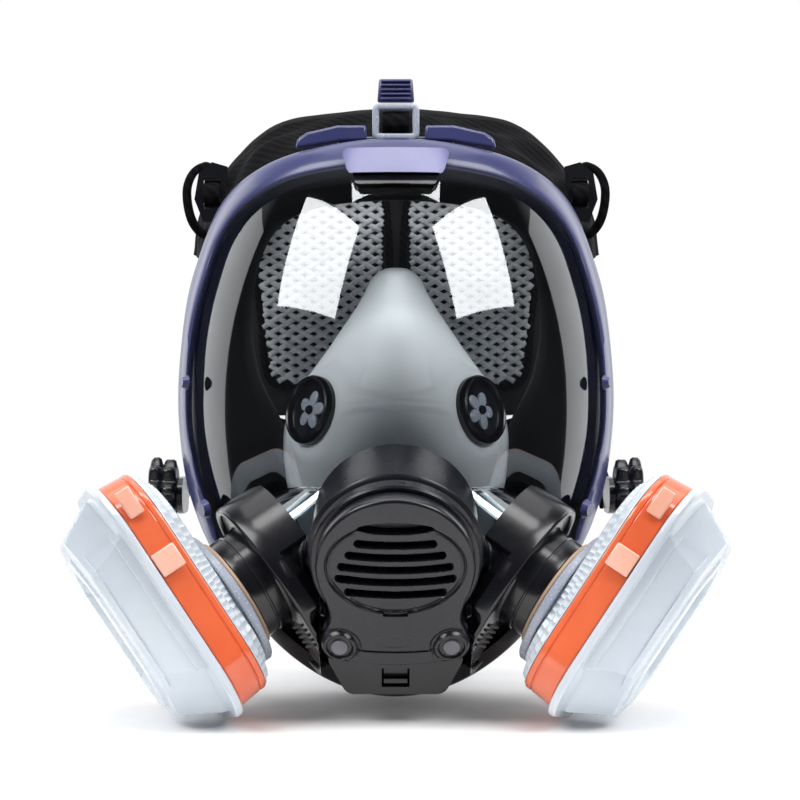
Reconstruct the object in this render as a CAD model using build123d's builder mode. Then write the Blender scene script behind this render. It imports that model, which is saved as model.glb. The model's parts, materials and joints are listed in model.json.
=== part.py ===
"""Full-face respirator: panoramic lens, blue clamp frame, silicone face seal and nose cup,
centre exhalation housing, two angled side ports with twist-on filter cartridges, and a strap
harness with its buckles.

Millimetres. +X to the wearer's left, +Y towards the back of the head, +Z up. The origin is the
middle of the face opening, on the upright axis that the lens curves round.
"""
import math
import os

from build123d import *

# ---------------------------------------------------------------- driving dimensions
HEAD_RADIUS = 97.0            # lens mid-surface at its widest level
WIDEST_Z = -5.0
UPPER_CURVE = 205.0           # side-view radius of the lens above the widest level
LOWER_CURVE = 230.0
HEAD_TOP = 118.0
HEAD_BOTTOM = -140.0
LENS_HALF = 1.25              # half the lens thickness
GAP = 0.3                     # clearance between separate pieces

FRAME_IN, FRAME_OUT = -4.0, 5.0     # frame section, measured from the lens mid-surface
FRAME_END_Z = -66.0
FRAME_BACK_Y = -16.0

SEAL_WALL = 3.0
SEAL_BACK_Y = 12.0
CUP_WALL = 2.2
CUP_BACK_Y = 6.0

HOUSING_CENTRE = (0, -117, -68)     # middle of the housing's front edge
HOUSING_TILT = 25.0                 # degrees below level
HOUSING_R = 34.0
TUBE_BORE_R = 31.0
PIN_PLACES = ((-22.5, -36), (22.5, -36))
SPIGOT_BORE_R = 17.0
SPIGOT_R = 19.5
SPIGOT_DEPTH = 24.5                 # ledge in the tube that the spigot's flange rests on
VALVE_PLATE_DEPTH = 16.0
VALVE_UP = 14.0                     # flap below and diaphragm above the tube's middle
DIAPHRAGM_R = 12.2
COVER_DEPTH = 9.0
COVER_CROWN_R = 160.0
# up the face, overall length, bar height of each slot in the grille
GRILLE_SLOTS = ((17, 26, 5), (11, 33, 3), (5.5, 40, 3), (0, 46, 3), (-5.5, 50, 3), (-11, 41, 3))
SOCKET_UP = -54.0                   # the chin latch's socket, up the housing's face
SOCKET_WIDTH = 11.4
LATCH_WIDTH = 9.6

PORT_BASE = (50, -78, -72.5)        # mirrored for the other side
PORT_AXIS = (0.79, -0.28, -0.53)
PORT_LONG = (-0.557, 0, -0.830)     # long direction of flange and cartridge, pointing down
COLLAR_R = 22.5
COLLAR_BORE_R = 19.5
COLLAR_LENGTH = 20.0
PORT_FLAP_H = 11.0
FLANGE_THICK = 6.0
FLANGE_SHIFT = 10.0                 # flange centre from the port axis, along the long way
FLANGE_HALF = (43, 30)
FLANGE_LIP = 3.5
FLANGE_RIBS = 9
RIB_START, RIB_PITCH = 26.0, 2.4    # ribs at the low end of the flange, from the port axis

CARTRIDGE_SHIFT = -14.0             # cartridge centre from the port axis, along the long way
CARTRIDGE_START = COLLAR_LENGTH + 1.5
CARTRIDGE_LENGTH = 110.0
CARTRIDGE_WIDTH = 87.0
CARTRIDGE_TAPER = 6.0               # how much narrower each long side is at the low end
CARTRIDGE_CORNER_R = 24.0
HUB_R = 26.0
RING_R = 30.0
BODY_STEP_H = 5.2                   # heights above the collar, outwards
BODY_WIDE_H = 8.5
BAND_START_H = 12.0
BAND_TOP_H = 25.5
RETAINER_TOP_H = 49.0

NOSE_VALVE_PLACE = (35.5, -57.5, -8.0)
NOSE_VALVE_AXIS = (0.76, -0.62, 0.20)
NOSE_VALVE_R = 15.0
# height, half width at the back, y of the ridge of each level section of the nose cup
CUP_SECTIONS = ((56, 9, -36), (40, 17, -50), (22, 29, -64), (-8, 48.5, -79), (-36, 50, -80),
                (-62, 43, -70), (-82, 30, -48))

# The crown band slopes: its front edge is lower and narrower than its rear edge
CROWN_REAR = [(0, 136), (28, 134), (56, 129), (76, 113), (93, 88), (97, 66)]
CROWN_FRONT = [(0, 115), (28, 113.5), (54, 107), (73, 94), (86, 77), (90, 60)]
CROWN_REAR_Y, CROWN_FRONT_Y = 49.0, 15.0
CROWN_THICK = 3.0
PAD_FRONT_Y, PAD_BACK_Y = 40.0, 46.0
PANEL_BACK_Y = 39.7
STRAP_THICK = 2.0

TOP_BUCKLE_Y = -52.0
UPPER_BUCKLE = (84.0, 91.0)         # centre, seen from the front
UPPER_BUCKLE_EDGE = ((-7, 12), (0, 14), (6, 9), (8, -3), (4, -13), (-5, -13))
UPPER_BUCKLE_BACK_Y, UPPER_BUCKLE_THICK = 6.0, 4.0
UPPER_SLOTS = (4.0, -4.7)           # heights of the two slots from the centre
KNOB_PLACE = (-22.0, -43.0)         # y and z of the lower adjuster's axis
KNOB_START_X = 97.0
KNOB_LAYER = 6.0                    # the adjuster is an inner and an outer lobed layer
LUG_THICK = 2.5

SIDES = {"left": -1, "right": 1}    # as the mask is seen from in front

# Front-view outlines, right half, from the top round to the bottom
LENS_EDGE = [(0, 98), (41.5, 94), (64, 84.5), (77.5, 70), (85, 49.5), (90, 27), (92, 5),
             (91.6, -17), (87, -36), (77, -47), (61, -49), (51, -60), (46, -78), (34, -92), (0, -98)]
FRAME_OUTER = [(0, 107), (41, 102.5), (65, 94), (79, 82), (87, 62), (92, 45), (94.5, 23),
               (96, 0), (95, -20), (92, -39), (86, -56), (81, FRAME_END_Z)]
FRAME_INNER = [(0, 95.5), (40.5, 91.5), (62.5, 82.5), (75.5, 68.5), (83, 48.5), (88, 27),
               (90, 5), (89.5, -17), (85.5, -36), (80, -52), (76, FRAME_END_Z)]
MASK_EDGE = [(0, 101), (41, 97), (65, 88), (78.5, 72), (87, 48), (91.5, 20), (92.5, 0),
             (91, -25), (85, -52), (74, -78), (56, -102), (38, -117), (19, -126), (0, -129)]
FACE_OPENING = [(0, 88), (38, 84), (58, 70), (66, 40), (67, 5), (62, -40), (48, -75), (25, -95),
                (0, -101)]

NODES = {}


# ---------------------------------------------------------------- shared helpers
def keep(name, part):
    """Label a finished piece and remember it for export."""
    part.label = name
    NODES[name] = part


def head_radius(z, offset=0.0):
    """Distance of the lens surface from the upright axis at height z."""
    curve = UPPER_CURVE if z >= WIDEST_Z else LOWER_CURVE
    return HEAD_RADIUS - curve + math.sqrt((curve + offset) ** 2 - (z - WIDEST_Z) ** 2)


def side_curve(offset):
    """Side-view curve of the lens, offset outwards, from top to bottom, as two arcs."""
    upper_mid = (HEAD_TOP + WIDEST_Z) / 2
    lower_mid = (HEAD_BOTTOM + WIDEST_Z) / 2
    widest = (HEAD_RADIUS + offset, WIDEST_Z)
    ThreePointArc((head_radius(HEAD_TOP, offset), HEAD_TOP),
                  (head_radius(upper_mid, offset), upper_mid), widest)
    ThreePointArc(widest, (head_radius(lower_mid, offset), lower_mid),
                  (head_radius(HEAD_BOTTOM, offset), HEAD_BOTTOM))


def head_shell(inner, outer):
    """Layer of the head form between two offsets from the lens mid-surface."""
    with BuildPart() as shell:
        with BuildSketch(Plane.XZ):
            with BuildLine():
                side_curve(outer)
                side_curve(inner)
                for z in (HEAD_TOP, HEAD_BOTTOM):
                    Line((head_radius(z, inner), z), (head_radius(z, outer), z))
            make_face()
        revolve(axis=Axis.Z)
    return shell.part


def head_solid(offset):
    """Everything inside the head form at one offset."""
    with BuildPart() as solid:
        with BuildSketch(Plane.XZ):
            with BuildLine():
                side_curve(offset)
                Line((head_radius(HEAD_BOTTOM, offset), HEAD_BOTTOM), (0, HEAD_BOTTOM))
                Line((0, HEAD_BOTTOM), (0, HEAD_TOP))
                Line((0, HEAD_TOP), (head_radius(HEAD_TOP, offset), HEAD_TOP))
            make_face()
        revolve(axis=Axis.Z)
    return solid.part


def front_half_shell(inner, outer):
    """The part of a head-form layer that lies in front of the upright axis."""
    with BuildPart() as front:
        add(head_shell(inner, outer))
        split(bisect_by=Plane.XZ, keep=Keep.TOP)
    return front.part


def mirrored(half):
    """A half outline and its mirror image, clockwise from the left."""
    return [(-x, z) for x, z in reversed(half) if x > 0] + list(half)


def grown(half, amount):
    """The same half outline with each point moved outwards, or inwards if negative."""
    moved = []
    for index, (x, z) in enumerate(half):
        before = half[index - 1] if index else (-half[1][0], half[1][1])
        if index + 1 < len(half):
            after = half[index + 1]
        elif x == 0:
            after = (-half[-2][0], half[-2][1])
        else:
            after = (x, z)
        along = Vector(after[0] - before[0], after[1] - before[1]).normalized()
        moved.append((x - along.Y * amount, z + along.X * amount))
    return moved


def front_prism(half, grow=0.0, y_front=-150.0, y_back=0.0):
    """Prism along Y of a front-view outline given by its right half."""
    edge = grown(half, grow) if grow else half
    with BuildPart() as prism:
        with BuildSketch(Plane.XZ.offset(-y_back)):
            with BuildLine():
                if half[-1][0] == 0:
                    Spline(*(mirrored(edge[:-1]) + [edge[-1]]), periodic=True)
                else:
                    Spline(*mirrored(edge))
                    Line(edge[-1], (-edge[-1][0], edge[-1][1]))
            make_face()
        extrude(amount=y_back - y_front)
    return prism.part


def housing_plane(depth=0.0):
    """Plane across the centre housing: local x is X, y is up its face, z points outwards."""
    tilt = math.radians(HOUSING_TILT)
    outwards = Vector(0, -math.cos(tilt), -math.sin(tilt))
    return Plane(origin=Vector(*HOUSING_CENTRE) - outwards * depth, x_dir=(1, 0, 0),
                 z_dir=outwards)


def port_plane(side, height=0.0):
    """Plane across a side port: local x runs down the flange, z points outwards."""
    axis = Vector(side * PORT_AXIS[0], PORT_AXIS[1], PORT_AXIS[2]).normalized()
    base = Vector(side * PORT_BASE[0], PORT_BASE[1], PORT_BASE[2])
    return Plane(origin=base + axis * height, x_dir=(side * PORT_LONG[0], 0, PORT_LONG[2]),
                 z_dir=axis)


def nose_valve_plane(side, height=0.0):
    """Plane across a nose-cup valve, z pointing out of the cup."""
    axis = Vector(side * NOSE_VALVE_AXIS[0], NOSE_VALVE_AXIS[1], NOSE_VALVE_AXIS[2]).normalized()
    place = Vector(side * NOSE_VALVE_PLACE[0], NOSE_VALVE_PLACE[1], NOSE_VALVE_PLACE[2])
    return Plane(origin=place + axis * height, x_dir=(0, 0, 1), z_dir=axis)


def disc(plane, radius, height, bore=0.0):
    """Plain round disc or ring standing on a plane."""
    with BuildPart() as ring:
        with BuildSketch(plane):
            Circle(radius)
            if bore:
                Circle(bore, mode=Mode.SUBTRACT)
        extrude(amount=height)
    return ring.part


# ---------------------------------------------------------------- lens, frame and chin
def port_sleeve(side):
    """Round stub between the lens surface and a port flange."""
    with BuildPart() as sleeve:
        add(disc(port_plane(side, -34), COLLAR_R + 2.9, 33.7))
        add(head_solid(0), mode=Mode.SUBTRACT)
        add(disc(housing_plane(60), HOUSING_R + 1.9, 90), mode=Mode.SUBTRACT)
    return sleeve.part


def edge_channel(outline):
    """Room for the edge of the lens or chin shell inside a clamp band."""
    with BuildPart() as channel:
        add(head_shell(-LENS_HALF - 0.1, LENS_HALF + 0.1))
        add(outline, mode=Mode.INTERSECT)
    return channel.part


def make_lens():
    """Clear lens with a sleeve moulded over each port."""
    with BuildPart() as lens:
        add(head_shell(-LENS_HALF, LENS_HALF))
        add(front_prism(LENS_EDGE), mode=Mode.INTERSECT)
        for side in SIDES.values():
            add(port_sleeve(side))
        for side in SIDES.values():
            add(disc(port_plane(side, -45), COLLAR_R + 0.4, 60), mode=Mode.SUBTRACT)
        add(disc(housing_plane(60), 20.5, 60), mode=Mode.SUBTRACT)
    keep("lens", lens.part)


def make_frame():
    """Blue clamp band round the lens: an arch with a channel for the lens edge."""
    with BuildPart() as frame:
        add(head_shell(FRAME_IN, FRAME_OUT))
        add(front_prism(FRAME_OUTER, y_back=FRAME_BACK_Y), mode=Mode.INTERSECT)
        add(front_prism(FRAME_INNER), mode=Mode.SUBTRACT)
        add(edge_channel(front_prism(LENS_EDGE, grow=0.3)), mode=Mode.SUBTRACT)
    keep("frame_upper", frame.part)


def make_chin():
    """Black chin shell below the lens, and the clamp band round its edge."""
    below_frame = FRAME_END_Z - GAP
    with BuildPart() as shell:
        add(head_shell(-LENS_HALF, LENS_HALF))
        add(front_prism(MASK_EDGE, grow=-3.2), mode=Mode.INTERSECT)
        add(front_prism(LENS_EDGE, grow=0.3), mode=Mode.SUBTRACT)
        split(bisect_by=Plane.XY.offset(-48), keep=Keep.BOTTOM)
        add(front_prism(FRAME_OUTER), mode=Mode.SUBTRACT)
        for side in SIDES.values():
            add(disc(port_plane(side, -45), COLLAR_R + 3.3, 60), mode=Mode.SUBTRACT)
        add(disc(housing_plane(60), 20.5, 60), mode=Mode.SUBTRACT)
    keep("chin_shell", shell.part.solids().sort_by(SortBy.VOLUME)[-1])

    with BuildPart() as clamp:
        add(head_shell(FRAME_IN, FRAME_OUT - 1))
        add(front_prism(MASK_EDGE), mode=Mode.INTERSECT)
        add(front_prism(MASK_EDGE, grow=-7), mode=Mode.SUBTRACT)
        add(edge_channel(front_prism(MASK_EDGE, grow=-3)), mode=Mode.SUBTRACT)
        split(bisect_by=Plane.XY.offset(below_frame), keep=Keep.BOTTOM)
    keep("frame_lower", clamp.part)


def make_frame_screws():
    """Domed screw heads on the frame, two on each side."""
    with BuildPart() as screws:
        for side in SIDES.values():
            for x, z, radius in ((90, 4, 3.2), (81, -50, 4.2)):
                reach = head_radius(z, FRAME_OUT + GAP)
                y = -math.sqrt(reach ** 2 - x ** 2)
                level = 1 - (HEAD_RADIUS - LOWER_CURVE) / reach
                outwards = Vector(side * x * level, y * level, z - WIDEST_Z)
                seat = Plane(origin=(side * x, y, z), x_dir=(-y, side * x, 0), z_dir=outwards)
                with BuildSketch(seat):
                    Circle(radius)
                extrude(amount=2.6, taper=25)
    keep("frame_screws", screws.part)


def curved_plate(corners, low, high):
    """Rounded plate that follows the head form between two offsets."""
    with BuildPart() as plate:
        with BuildSketch(Plane.XZ) as face:
            with BuildLine():
                Polyline(*corners, close=True)
            make_face()
            fillet(face.vertices(), 2.5)
        extrude(amount=150)
        add(head_shell(low, high), mode=Mode.INTERSECT)
    return plate.part


def make_top_flap():
    """Flap over the middle of the frame's top, and the catch that shows below it."""
    flap = curved_plate(((-23, 102), (23, 102), (20, 91), (-20, 91)),
                        FRAME_OUT + 0.2, FRAME_OUT + 2.6)
    keep("frame_top_flap", flap)
    with BuildPart() as catch:
        add(curved_plate(((-19, 95), (19, 95), (17, 86.5), (-17, 86.5)),
                         LENS_HALF + GAP, FRAME_OUT - 0.6))
        add(front_prism(FRAME_INNER, grow=-GAP), mode=Mode.INTERSECT)
    keep("frame_top_catch", catch.part)


# ---------------------------------------------------------------- face seal and nose cup
def make_face_seal():
    """Silicone skirt from the frame back to the face, with its inward lip."""
    with BuildPart() as seal:
        add(front_prism(MASK_EDGE, grow=-1, y_back=SEAL_BACK_Y))
        add(front_prism(MASK_EDGE, grow=-1 - SEAL_WALL, y_back=SEAL_BACK_Y - SEAL_WALL),
            mode=Mode.SUBTRACT)
        add(front_prism(FACE_OPENING, y_back=SEAL_BACK_Y + 1), mode=Mode.SUBTRACT)
        add(front_half_shell(FRAME_IN - 0.4, 60), mode=Mode.SUBTRACT)
    keep("face_seal", seal.part.solids().sort_by(SortBy.VOLUME)[-1])


def cup_loft(inset, back_y):
    """Loft of D-shaped level sections, each pulled in by inset."""
    with BuildPart() as loft_part:
        for z, half_width, ridge_y in CUP_SECTIONS:
            w = half_width - inset
            ridge = ridge_y + inset
            side_y = CUP_BACK_Y - 6
            shoulder_y = side_y + (ridge - side_y) * 0.72
            with BuildSketch(Plane.XY.offset(z)):
                with BuildLine():
                    Spline((-w, side_y), (-w * 0.72, shoulder_y), (0, ridge),
                           (w * 0.72, shoulder_y), (w, side_y),
                           tangents=((0, -1), (0, 1)))
                    Polyline((w, side_y), (w, back_y), (-w, back_y), (-w, side_y))
                make_face()
        loft()
    return loft_part.part


def make_nose_cup():
    """Grey silicone cup with holes for its two valves and the centre port."""
    with BuildPart() as cup:
        add(cup_loft(0, CUP_BACK_Y))
        add(cup_loft(CUP_WALL, CUP_BACK_Y + 6), mode=Mode.SUBTRACT)
        for side in SIDES.values():
            add(disc(nose_valve_plane(side, -16), NOSE_VALVE_R + GAP, 40), mode=Mode.SUBTRACT)
        add(disc(housing_plane(62), 20.2, 60), mode=Mode.SUBTRACT)
    keep("nose_cup", cup.part.solids().sort_by(SortBy.VOLUME)[-1])


def make_nose_valve(label, side):
    """Valve seat in the side of the nose cup, and the flap behind it."""
    with BuildPart() as seat:
        add(disc(nose_valve_plane(side, -4), NOSE_VALVE_R, 8, bore=NOSE_VALVE_R - 2.5))
        with BuildSketch(nose_valve_plane(side)):
            Circle(NOSE_VALVE_R - 2)
            with PolarLocations(7.6, 5):
                Circle(3.6, mode=Mode.SUBTRACT)
        extrude(amount=1.8)
    keep("nose_valve_seat_" + label, seat.part)
    flap = disc(nose_valve_plane(side, -1.1), NOSE_VALVE_R - 3, 0.8)
    keep("nose_valve_flap_" + label, flap)


# ---------------------------------------------------------------- centre housing
def cover_face(plane, grow=0.0):
    """Outline of the front cover: a round grille on a waisted foot with two bosses."""
    with BuildSketch(plane) as face:
        Circle(HOUSING_R - 2.2 + grow)
        with BuildLine():
            Polyline((-25 - grow, -20), (25 + grow, -20), (27 + grow, -40 - grow),
                     (-27 - grow, -40 - grow), close=True)
        make_face()
        with Locations(*PIN_PLACES):
            Circle(7.5 + grow)
    return face.sketch


def make_housing():
    """Tube on the lens that carries the valves, and the spigot from it into the nose cup."""
    with BuildPart() as housing:
        add(disc(housing_plane(45), HOUSING_R, 45, bore=TUBE_BORE_R))
        add(disc(housing_plane(SPIGOT_DEPTH), HOUSING_R - 1, 2, bore=TUBE_BORE_R - 2))
        with BuildSketch(housing_plane(9)):
            Circle(HOUSING_R + 1.4)
            Circle(HOUSING_R - 1, mode=Mode.SUBTRACT)
        extrude(amount=2.4)
        add(head_solid(LENS_HALF + 0.4), mode=Mode.SUBTRACT)
    keep("centre_adapter", housing.part)

    with BuildPart() as spigot:
        add(disc(housing_plane(SPIGOT_DEPTH - 2), TUBE_BORE_R - 0.2, 2.5, bore=SPIGOT_BORE_R))
        add(disc(housing_plane(48), SPIGOT_R, 50.5 - SPIGOT_DEPTH, bore=SPIGOT_BORE_R))
    keep("centre_spigot", spigot.part)


def make_exhalation_parts():
    """Valve plate with the exhalation flap below and the speech diaphragm above."""
    with BuildPart() as plate:
        with BuildSketch(housing_plane(VALVE_PLATE_DEPTH)):
            Circle(TUBE_BORE_R - 0.1)
            with Locations((0, VALVE_UP)):
                Circle(DIAPHRAGM_R + 0.2, mode=Mode.SUBTRACT)
            with Locations((0, -VALVE_UP)):
                with PolarLocations(7, 5):
                    Circle(3.2, mode=Mode.SUBTRACT)
        extrude(amount=3)
    keep("exhalation_valve_seat", plate.part)

    with BuildPart() as flap:
        with BuildSketch(housing_plane(VALVE_PLATE_DEPTH - 3.3)):
            with Locations((0, -VALVE_UP)):
                Circle(13)
        extrude(amount=0.8)
    keep("exhalation_flap", flap.part)

    with BuildPart() as diaphragm:
        with BuildSketch(housing_plane(VALVE_PLATE_DEPTH)):
            with Locations((0, VALVE_UP)):
                Circle(DIAPHRAGM_R)
        extrude(amount=2)
        with BuildSketch(housing_plane(VALVE_PLATE_DEPTH - 2)):
            with Locations((0, VALVE_UP)):
                Circle(DIAPHRAGM_R - 2.2)
        extrude(amount=1.5, mode=Mode.SUBTRACT)
    keep("speech_diaphragm", diaphragm.part)


def crowned_cover(inset):
    """Cover blank: the outline, its front crowned like part of a large ball."""
    with BuildPart() as blank:
        add(cover_face(housing_plane(-GAP), grow=-inset))
        extrude(amount=COVER_DEPTH, dir=housing_plane().z_dir)
        with Locations(housing_plane(COVER_CROWN_R - COVER_DEPTH)):
            Sphere(COVER_CROWN_R - inset, mode=Mode.INTERSECT)
    return blank.part


def make_cover():
    """Slotted cover over the valves, held by two pins."""
    with BuildPart() as cover:
        add(crowned_cover(0))
        add(crowned_cover(2.5), mode=Mode.SUBTRACT)
        for up, length, height in GRILLE_SLOTS:
            with BuildSketch(housing_plane(-GAP)):
                with Locations((0, up)):
                    SlotOverall(length, height)
            extrude(amount=COVER_DEPTH + 1, mode=Mode.SUBTRACT)
        with BuildSketch(housing_plane(-GAP)):
            with Locations(*PIN_PLACES):
                Circle(6)
                Circle(3.8, mode=Mode.SUBTRACT)
        extrude(amount=4.2)
        with BuildSketch(housing_plane(-GAP)):
            with Locations(*PIN_PLACES):
                Circle(3.8)
        extrude(amount=COVER_DEPTH, mode=Mode.SUBTRACT)
    keep("exhalation_cover", cover.part)

    with BuildPart() as pins:
        with BuildSketch(housing_plane(-GAP)):
            with Locations(*PIN_PLACES):
                Circle(3.6)
        extrude(amount=5)
    keep("cover_pins", pins.part)


def make_chin_bracket():
    """Bracket under the cover, with a slot across it and the latch's socket below."""
    with BuildPart() as bracket:
        with BuildSketch(housing_plane(0.3)) as face:
            with BuildLine():
                Polyline((-30, -26), (30, -26), (27, -47), (20, -62), (-20, -62), (-27, -47),
                         close=True)
            make_face()
            fillet(face.vertices().group_by(Axis.Z)[0], 5)
        extrude(amount=-30)
        add(disc(housing_plane(48), HOUSING_R + 1.8, 60), mode=Mode.SUBTRACT)
        add(head_solid(FRAME_OUT - 0.6), mode=Mode.SUBTRACT)
        for side in SIDES.values():
            add(disc(port_plane(side, -40), COLLAR_R + 3.4, 40), mode=Mode.SUBTRACT)
        with BuildSketch(housing_plane(0.3)):
            with Locations((0, -44.5)):
                SlotOverall(28, 3.4)
        extrude(amount=-5, mode=Mode.SUBTRACT)
        with BuildSketch(housing_plane(0.3)):
            with Locations((0, SOCKET_UP)):
                Rectangle(SOCKET_WIDTH, 9)
        extrude(amount=-8, mode=Mode.SUBTRACT)
    keep("chin_bracket", bracket.part.solids().sort_by(SortBy.VOLUME)[-1])


def make_chin_latch():
    """Hooked latch hinged in the bracket's socket."""
    with BuildPart() as latch:
        with BuildSketch(housing_plane(5.2)):
            with Locations((0, SOCKET_UP)):
                Rectangle(LATCH_WIDTH, 6.4)
        extrude(amount=1.8)
        with BuildSketch(housing_plane(3.4)):
            with Locations((0, SOCKET_UP - 2.2)):
                Rectangle(LATCH_WIDTH, 2)
        extrude(amount=2.2)
    keep("chin_latch", latch.part)


# ---------------------------------------------------------------- side ports
def make_flange(label, side):
    """Oval flange on the lens sleeve, with a raised lip and ribs at its low end."""
    with BuildPart() as flange:
        with BuildSketch(port_plane(side)):
            with Locations((FLANGE_SHIFT, 0)):
                Ellipse(*FLANGE_HALF)
            Circle(COLLAR_R + 0.2, mode=Mode.SUBTRACT)
        extrude(amount=FLANGE_THICK)
        with BuildSketch(port_plane(side, FLANGE_THICK)):
            with Locations((FLANGE_SHIFT, 0)):
                Ellipse(*FLANGE_HALF)
                Ellipse(FLANGE_HALF[0] - FLANGE_LIP, FLANGE_HALF[1] - FLANGE_LIP,
                        mode=Mode.SUBTRACT)
            Circle(COLLAR_R + 0.2, mode=Mode.SUBTRACT)
        extrude(amount=2)
        with BuildSketch(port_plane(side, FLANGE_THICK)):
            for rib in range(FLANGE_RIBS):
                with Locations((RIB_START + rib * RIB_PITCH, 0)):
                    Rectangle(RIB_PITCH / 2, 20)
        extrude(amount=3.4)
        with BuildSketch(housing_plane(40)):
            with Locations((0, -45)):
                Rectangle(62, 44)
        extrude(amount=60, mode=Mode.SUBTRACT)
        add(disc(housing_plane(60), HOUSING_R + 1.9, 90), mode=Mode.SUBTRACT)
        add(head_solid(FRAME_OUT + 0.8), mode=Mode.SUBTRACT)
    keep("port_flange_" + label, flange.part.solids().sort_by(SortBy.VOLUME)[-1])


def make_collar(label, side):
    """Collar that carries the cartridge, with its gasket and the inhalation flap inside."""
    with BuildPart() as collar:
        add(disc(port_plane(side), COLLAR_R, COLLAR_LENGTH, bore=COLLAR_BORE_R))
        with BuildSketch(port_plane(side, PORT_FLAP_H + 1)):
            Circle(COLLAR_BORE_R + 0.5)
            with PolarLocations(10.5, 6):
                Circle(4.4, mode=Mode.SUBTRACT)
        extrude(amount=2)
        add(head_solid(FRAME_OUT - 0.6), mode=Mode.SUBTRACT)
    keep("port_collar_" + label, collar.part.solids().sort_by(SortBy.VOLUME)[-1])

    gasket = disc(port_plane(side, COLLAR_LENGTH), COLLAR_R + 1.5, 1.2, bore=COLLAR_BORE_R + 1)
    keep("port_gasket_" + label, gasket)

    flap = disc(port_plane(side, PORT_FLAP_H), COLLAR_BORE_R - 2, 0.8)
    keep("inhalation_flap_" + label, flap)


# ---------------------------------------------------------------- filter cartridges
def cartridge_face(plane, margin):
    """Rounded trapezoid section of the cartridge, smaller all round by margin."""
    end = CARTRIDGE_LENGTH / 2 - margin
    wide = CARTRIDGE_WIDTH / 2 - margin
    narrow = wide - CARTRIDGE_TAPER
    with BuildSketch(plane) as face:
        with BuildLine():
            Polyline((CARTRIDGE_SHIFT - end, -wide), (CARTRIDGE_SHIFT + end, -narrow),
                     (CARTRIDGE_SHIFT + end, narrow), (CARTRIDGE_SHIFT - end, wide), close=True)
        make_face()
        fillet(face.vertices(), CARTRIDGE_CORNER_R - margin / 2)
    return face.sketch


def cartridge_block(side, low, high, margin_low, margin_high):
    """Solid between two cartridge sections."""
    with BuildPart() as block:
        add(cartridge_face(port_plane(side, CARTRIDGE_START + low), margin_low))
        add(cartridge_face(port_plane(side, CARTRIDGE_START + high), margin_high))
        loft()
    return block.part


def make_cartridge_body(label, side):
    """Filter body with its hub, the ring round the hub, and the orange band."""
    with BuildPart() as body:
        add(disc(port_plane(side, CARTRIDGE_START), HUB_R, BODY_STEP_H + 0.5, bore=COLLAR_BORE_R))
        add(cartridge_block(side, BODY_STEP_H, BODY_WIDE_H, 12, 10))
        add(cartridge_block(side, BODY_WIDE_H, BAND_START_H, 6, 4))
        add(cartridge_block(side, BODY_STEP_H + 2.2, BAND_START_H, 14, 8), mode=Mode.SUBTRACT)
        add(disc(port_plane(side, CARTRIDGE_START), COLLAR_BORE_R, 10), mode=Mode.SUBTRACT)
    keep("cartridge_body_" + label, body.part)

    ring = disc(port_plane(side, CARTRIDGE_START + 1.2), RING_R, 3.5, bore=HUB_R + 0.1)
    keep("cartridge_ring_" + label, ring)

    with BuildPart() as band:
        add(cartridge_block(side, BAND_START_H + 0.1, BAND_TOP_H, 4.5, 2.5))
        add(cartridge_block(side, BAND_START_H, BAND_TOP_H + 0.1, 7.5, 5.5), mode=Mode.SUBTRACT)
    keep("cartridge_band_" + label, band.part)


def make_cartridge_filling(label, side):
    """Sorbent bed in the body and the prefilter pad over it."""
    bed = cartridge_block(side, BODY_STEP_H + 2.6, BAND_TOP_H - 3, 15, 8)
    keep("sorbent_bed_" + label, bed)

    prefilter = cartridge_block(side, BAND_TOP_H - 2.7, BAND_TOP_H + 2, 9, 9)
    keep("prefilter_" + label, prefilter)


def make_retainer(label, side):
    """Hollow cap that holds the prefilter on the cartridge."""
    with BuildPart() as retainer:
        add(cartridge_block(side, BAND_TOP_H + 0.3, BAND_TOP_H + 4, 0, 0.5))
        add(cartridge_block(side, BAND_TOP_H + 3.9, RETAINER_TOP_H, 4, 15))
        add(cartridge_block(side, BAND_TOP_H, RETAINER_TOP_H - 2.5, 6.5, 16.5), mode=Mode.SUBTRACT)
    keep("retainer_" + label, retainer.part)


# ---------------------------------------------------------------- harness
def make_head_pad():
    """Black head pad behind the mask with two grey mesh panels on its front."""
    pad_half = [(0, 121), (50, 112), (76, 88), (81, 40), (76, 0), (55, -18), (0, -21)]
    keep("head_pad", front_prism(pad_half, y_front=PAD_FRONT_Y, y_back=PAD_BACK_Y))
    with BuildPart() as panels:
        with BuildSketch(Plane.XZ.offset(-PANEL_BACK_Y)) as face:
            for side in SIDES.values():
                with BuildLine():
                    Polyline((side * 5, 96), (side * 52, 90), (side * 67, 62), (side * 60, 3),
                             (side * 5, 3), close=True)
                make_face()
            fillet(face.vertices(), 6)
        extrude(amount=2)
    keep("mesh_panels", panels.part)


def crown_section(half, y):
    """Arch-shaped section of the crown band at one depth."""
    upper = mirrored(half)
    lower = mirrored(grown(half, -CROWN_THICK))
    with BuildSketch(Plane.XZ.offset(-y)) as face:
        with BuildLine():
            Spline(*upper)
            Spline(*lower)
            Line(upper[0], lower[0])
            Line(upper[-1], lower[-1])
        make_face()
    return face.sketch


def make_crown_band():
    """Wide elastic band that arches from the head pad down to the top of the frame."""
    with BuildPart() as band:
        add(crown_section(CROWN_REAR, CROWN_REAR_Y))
        add(crown_section(CROWN_FRONT, CROWN_FRONT_Y))
        loft()
    keep("crown_band", band.part)


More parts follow.
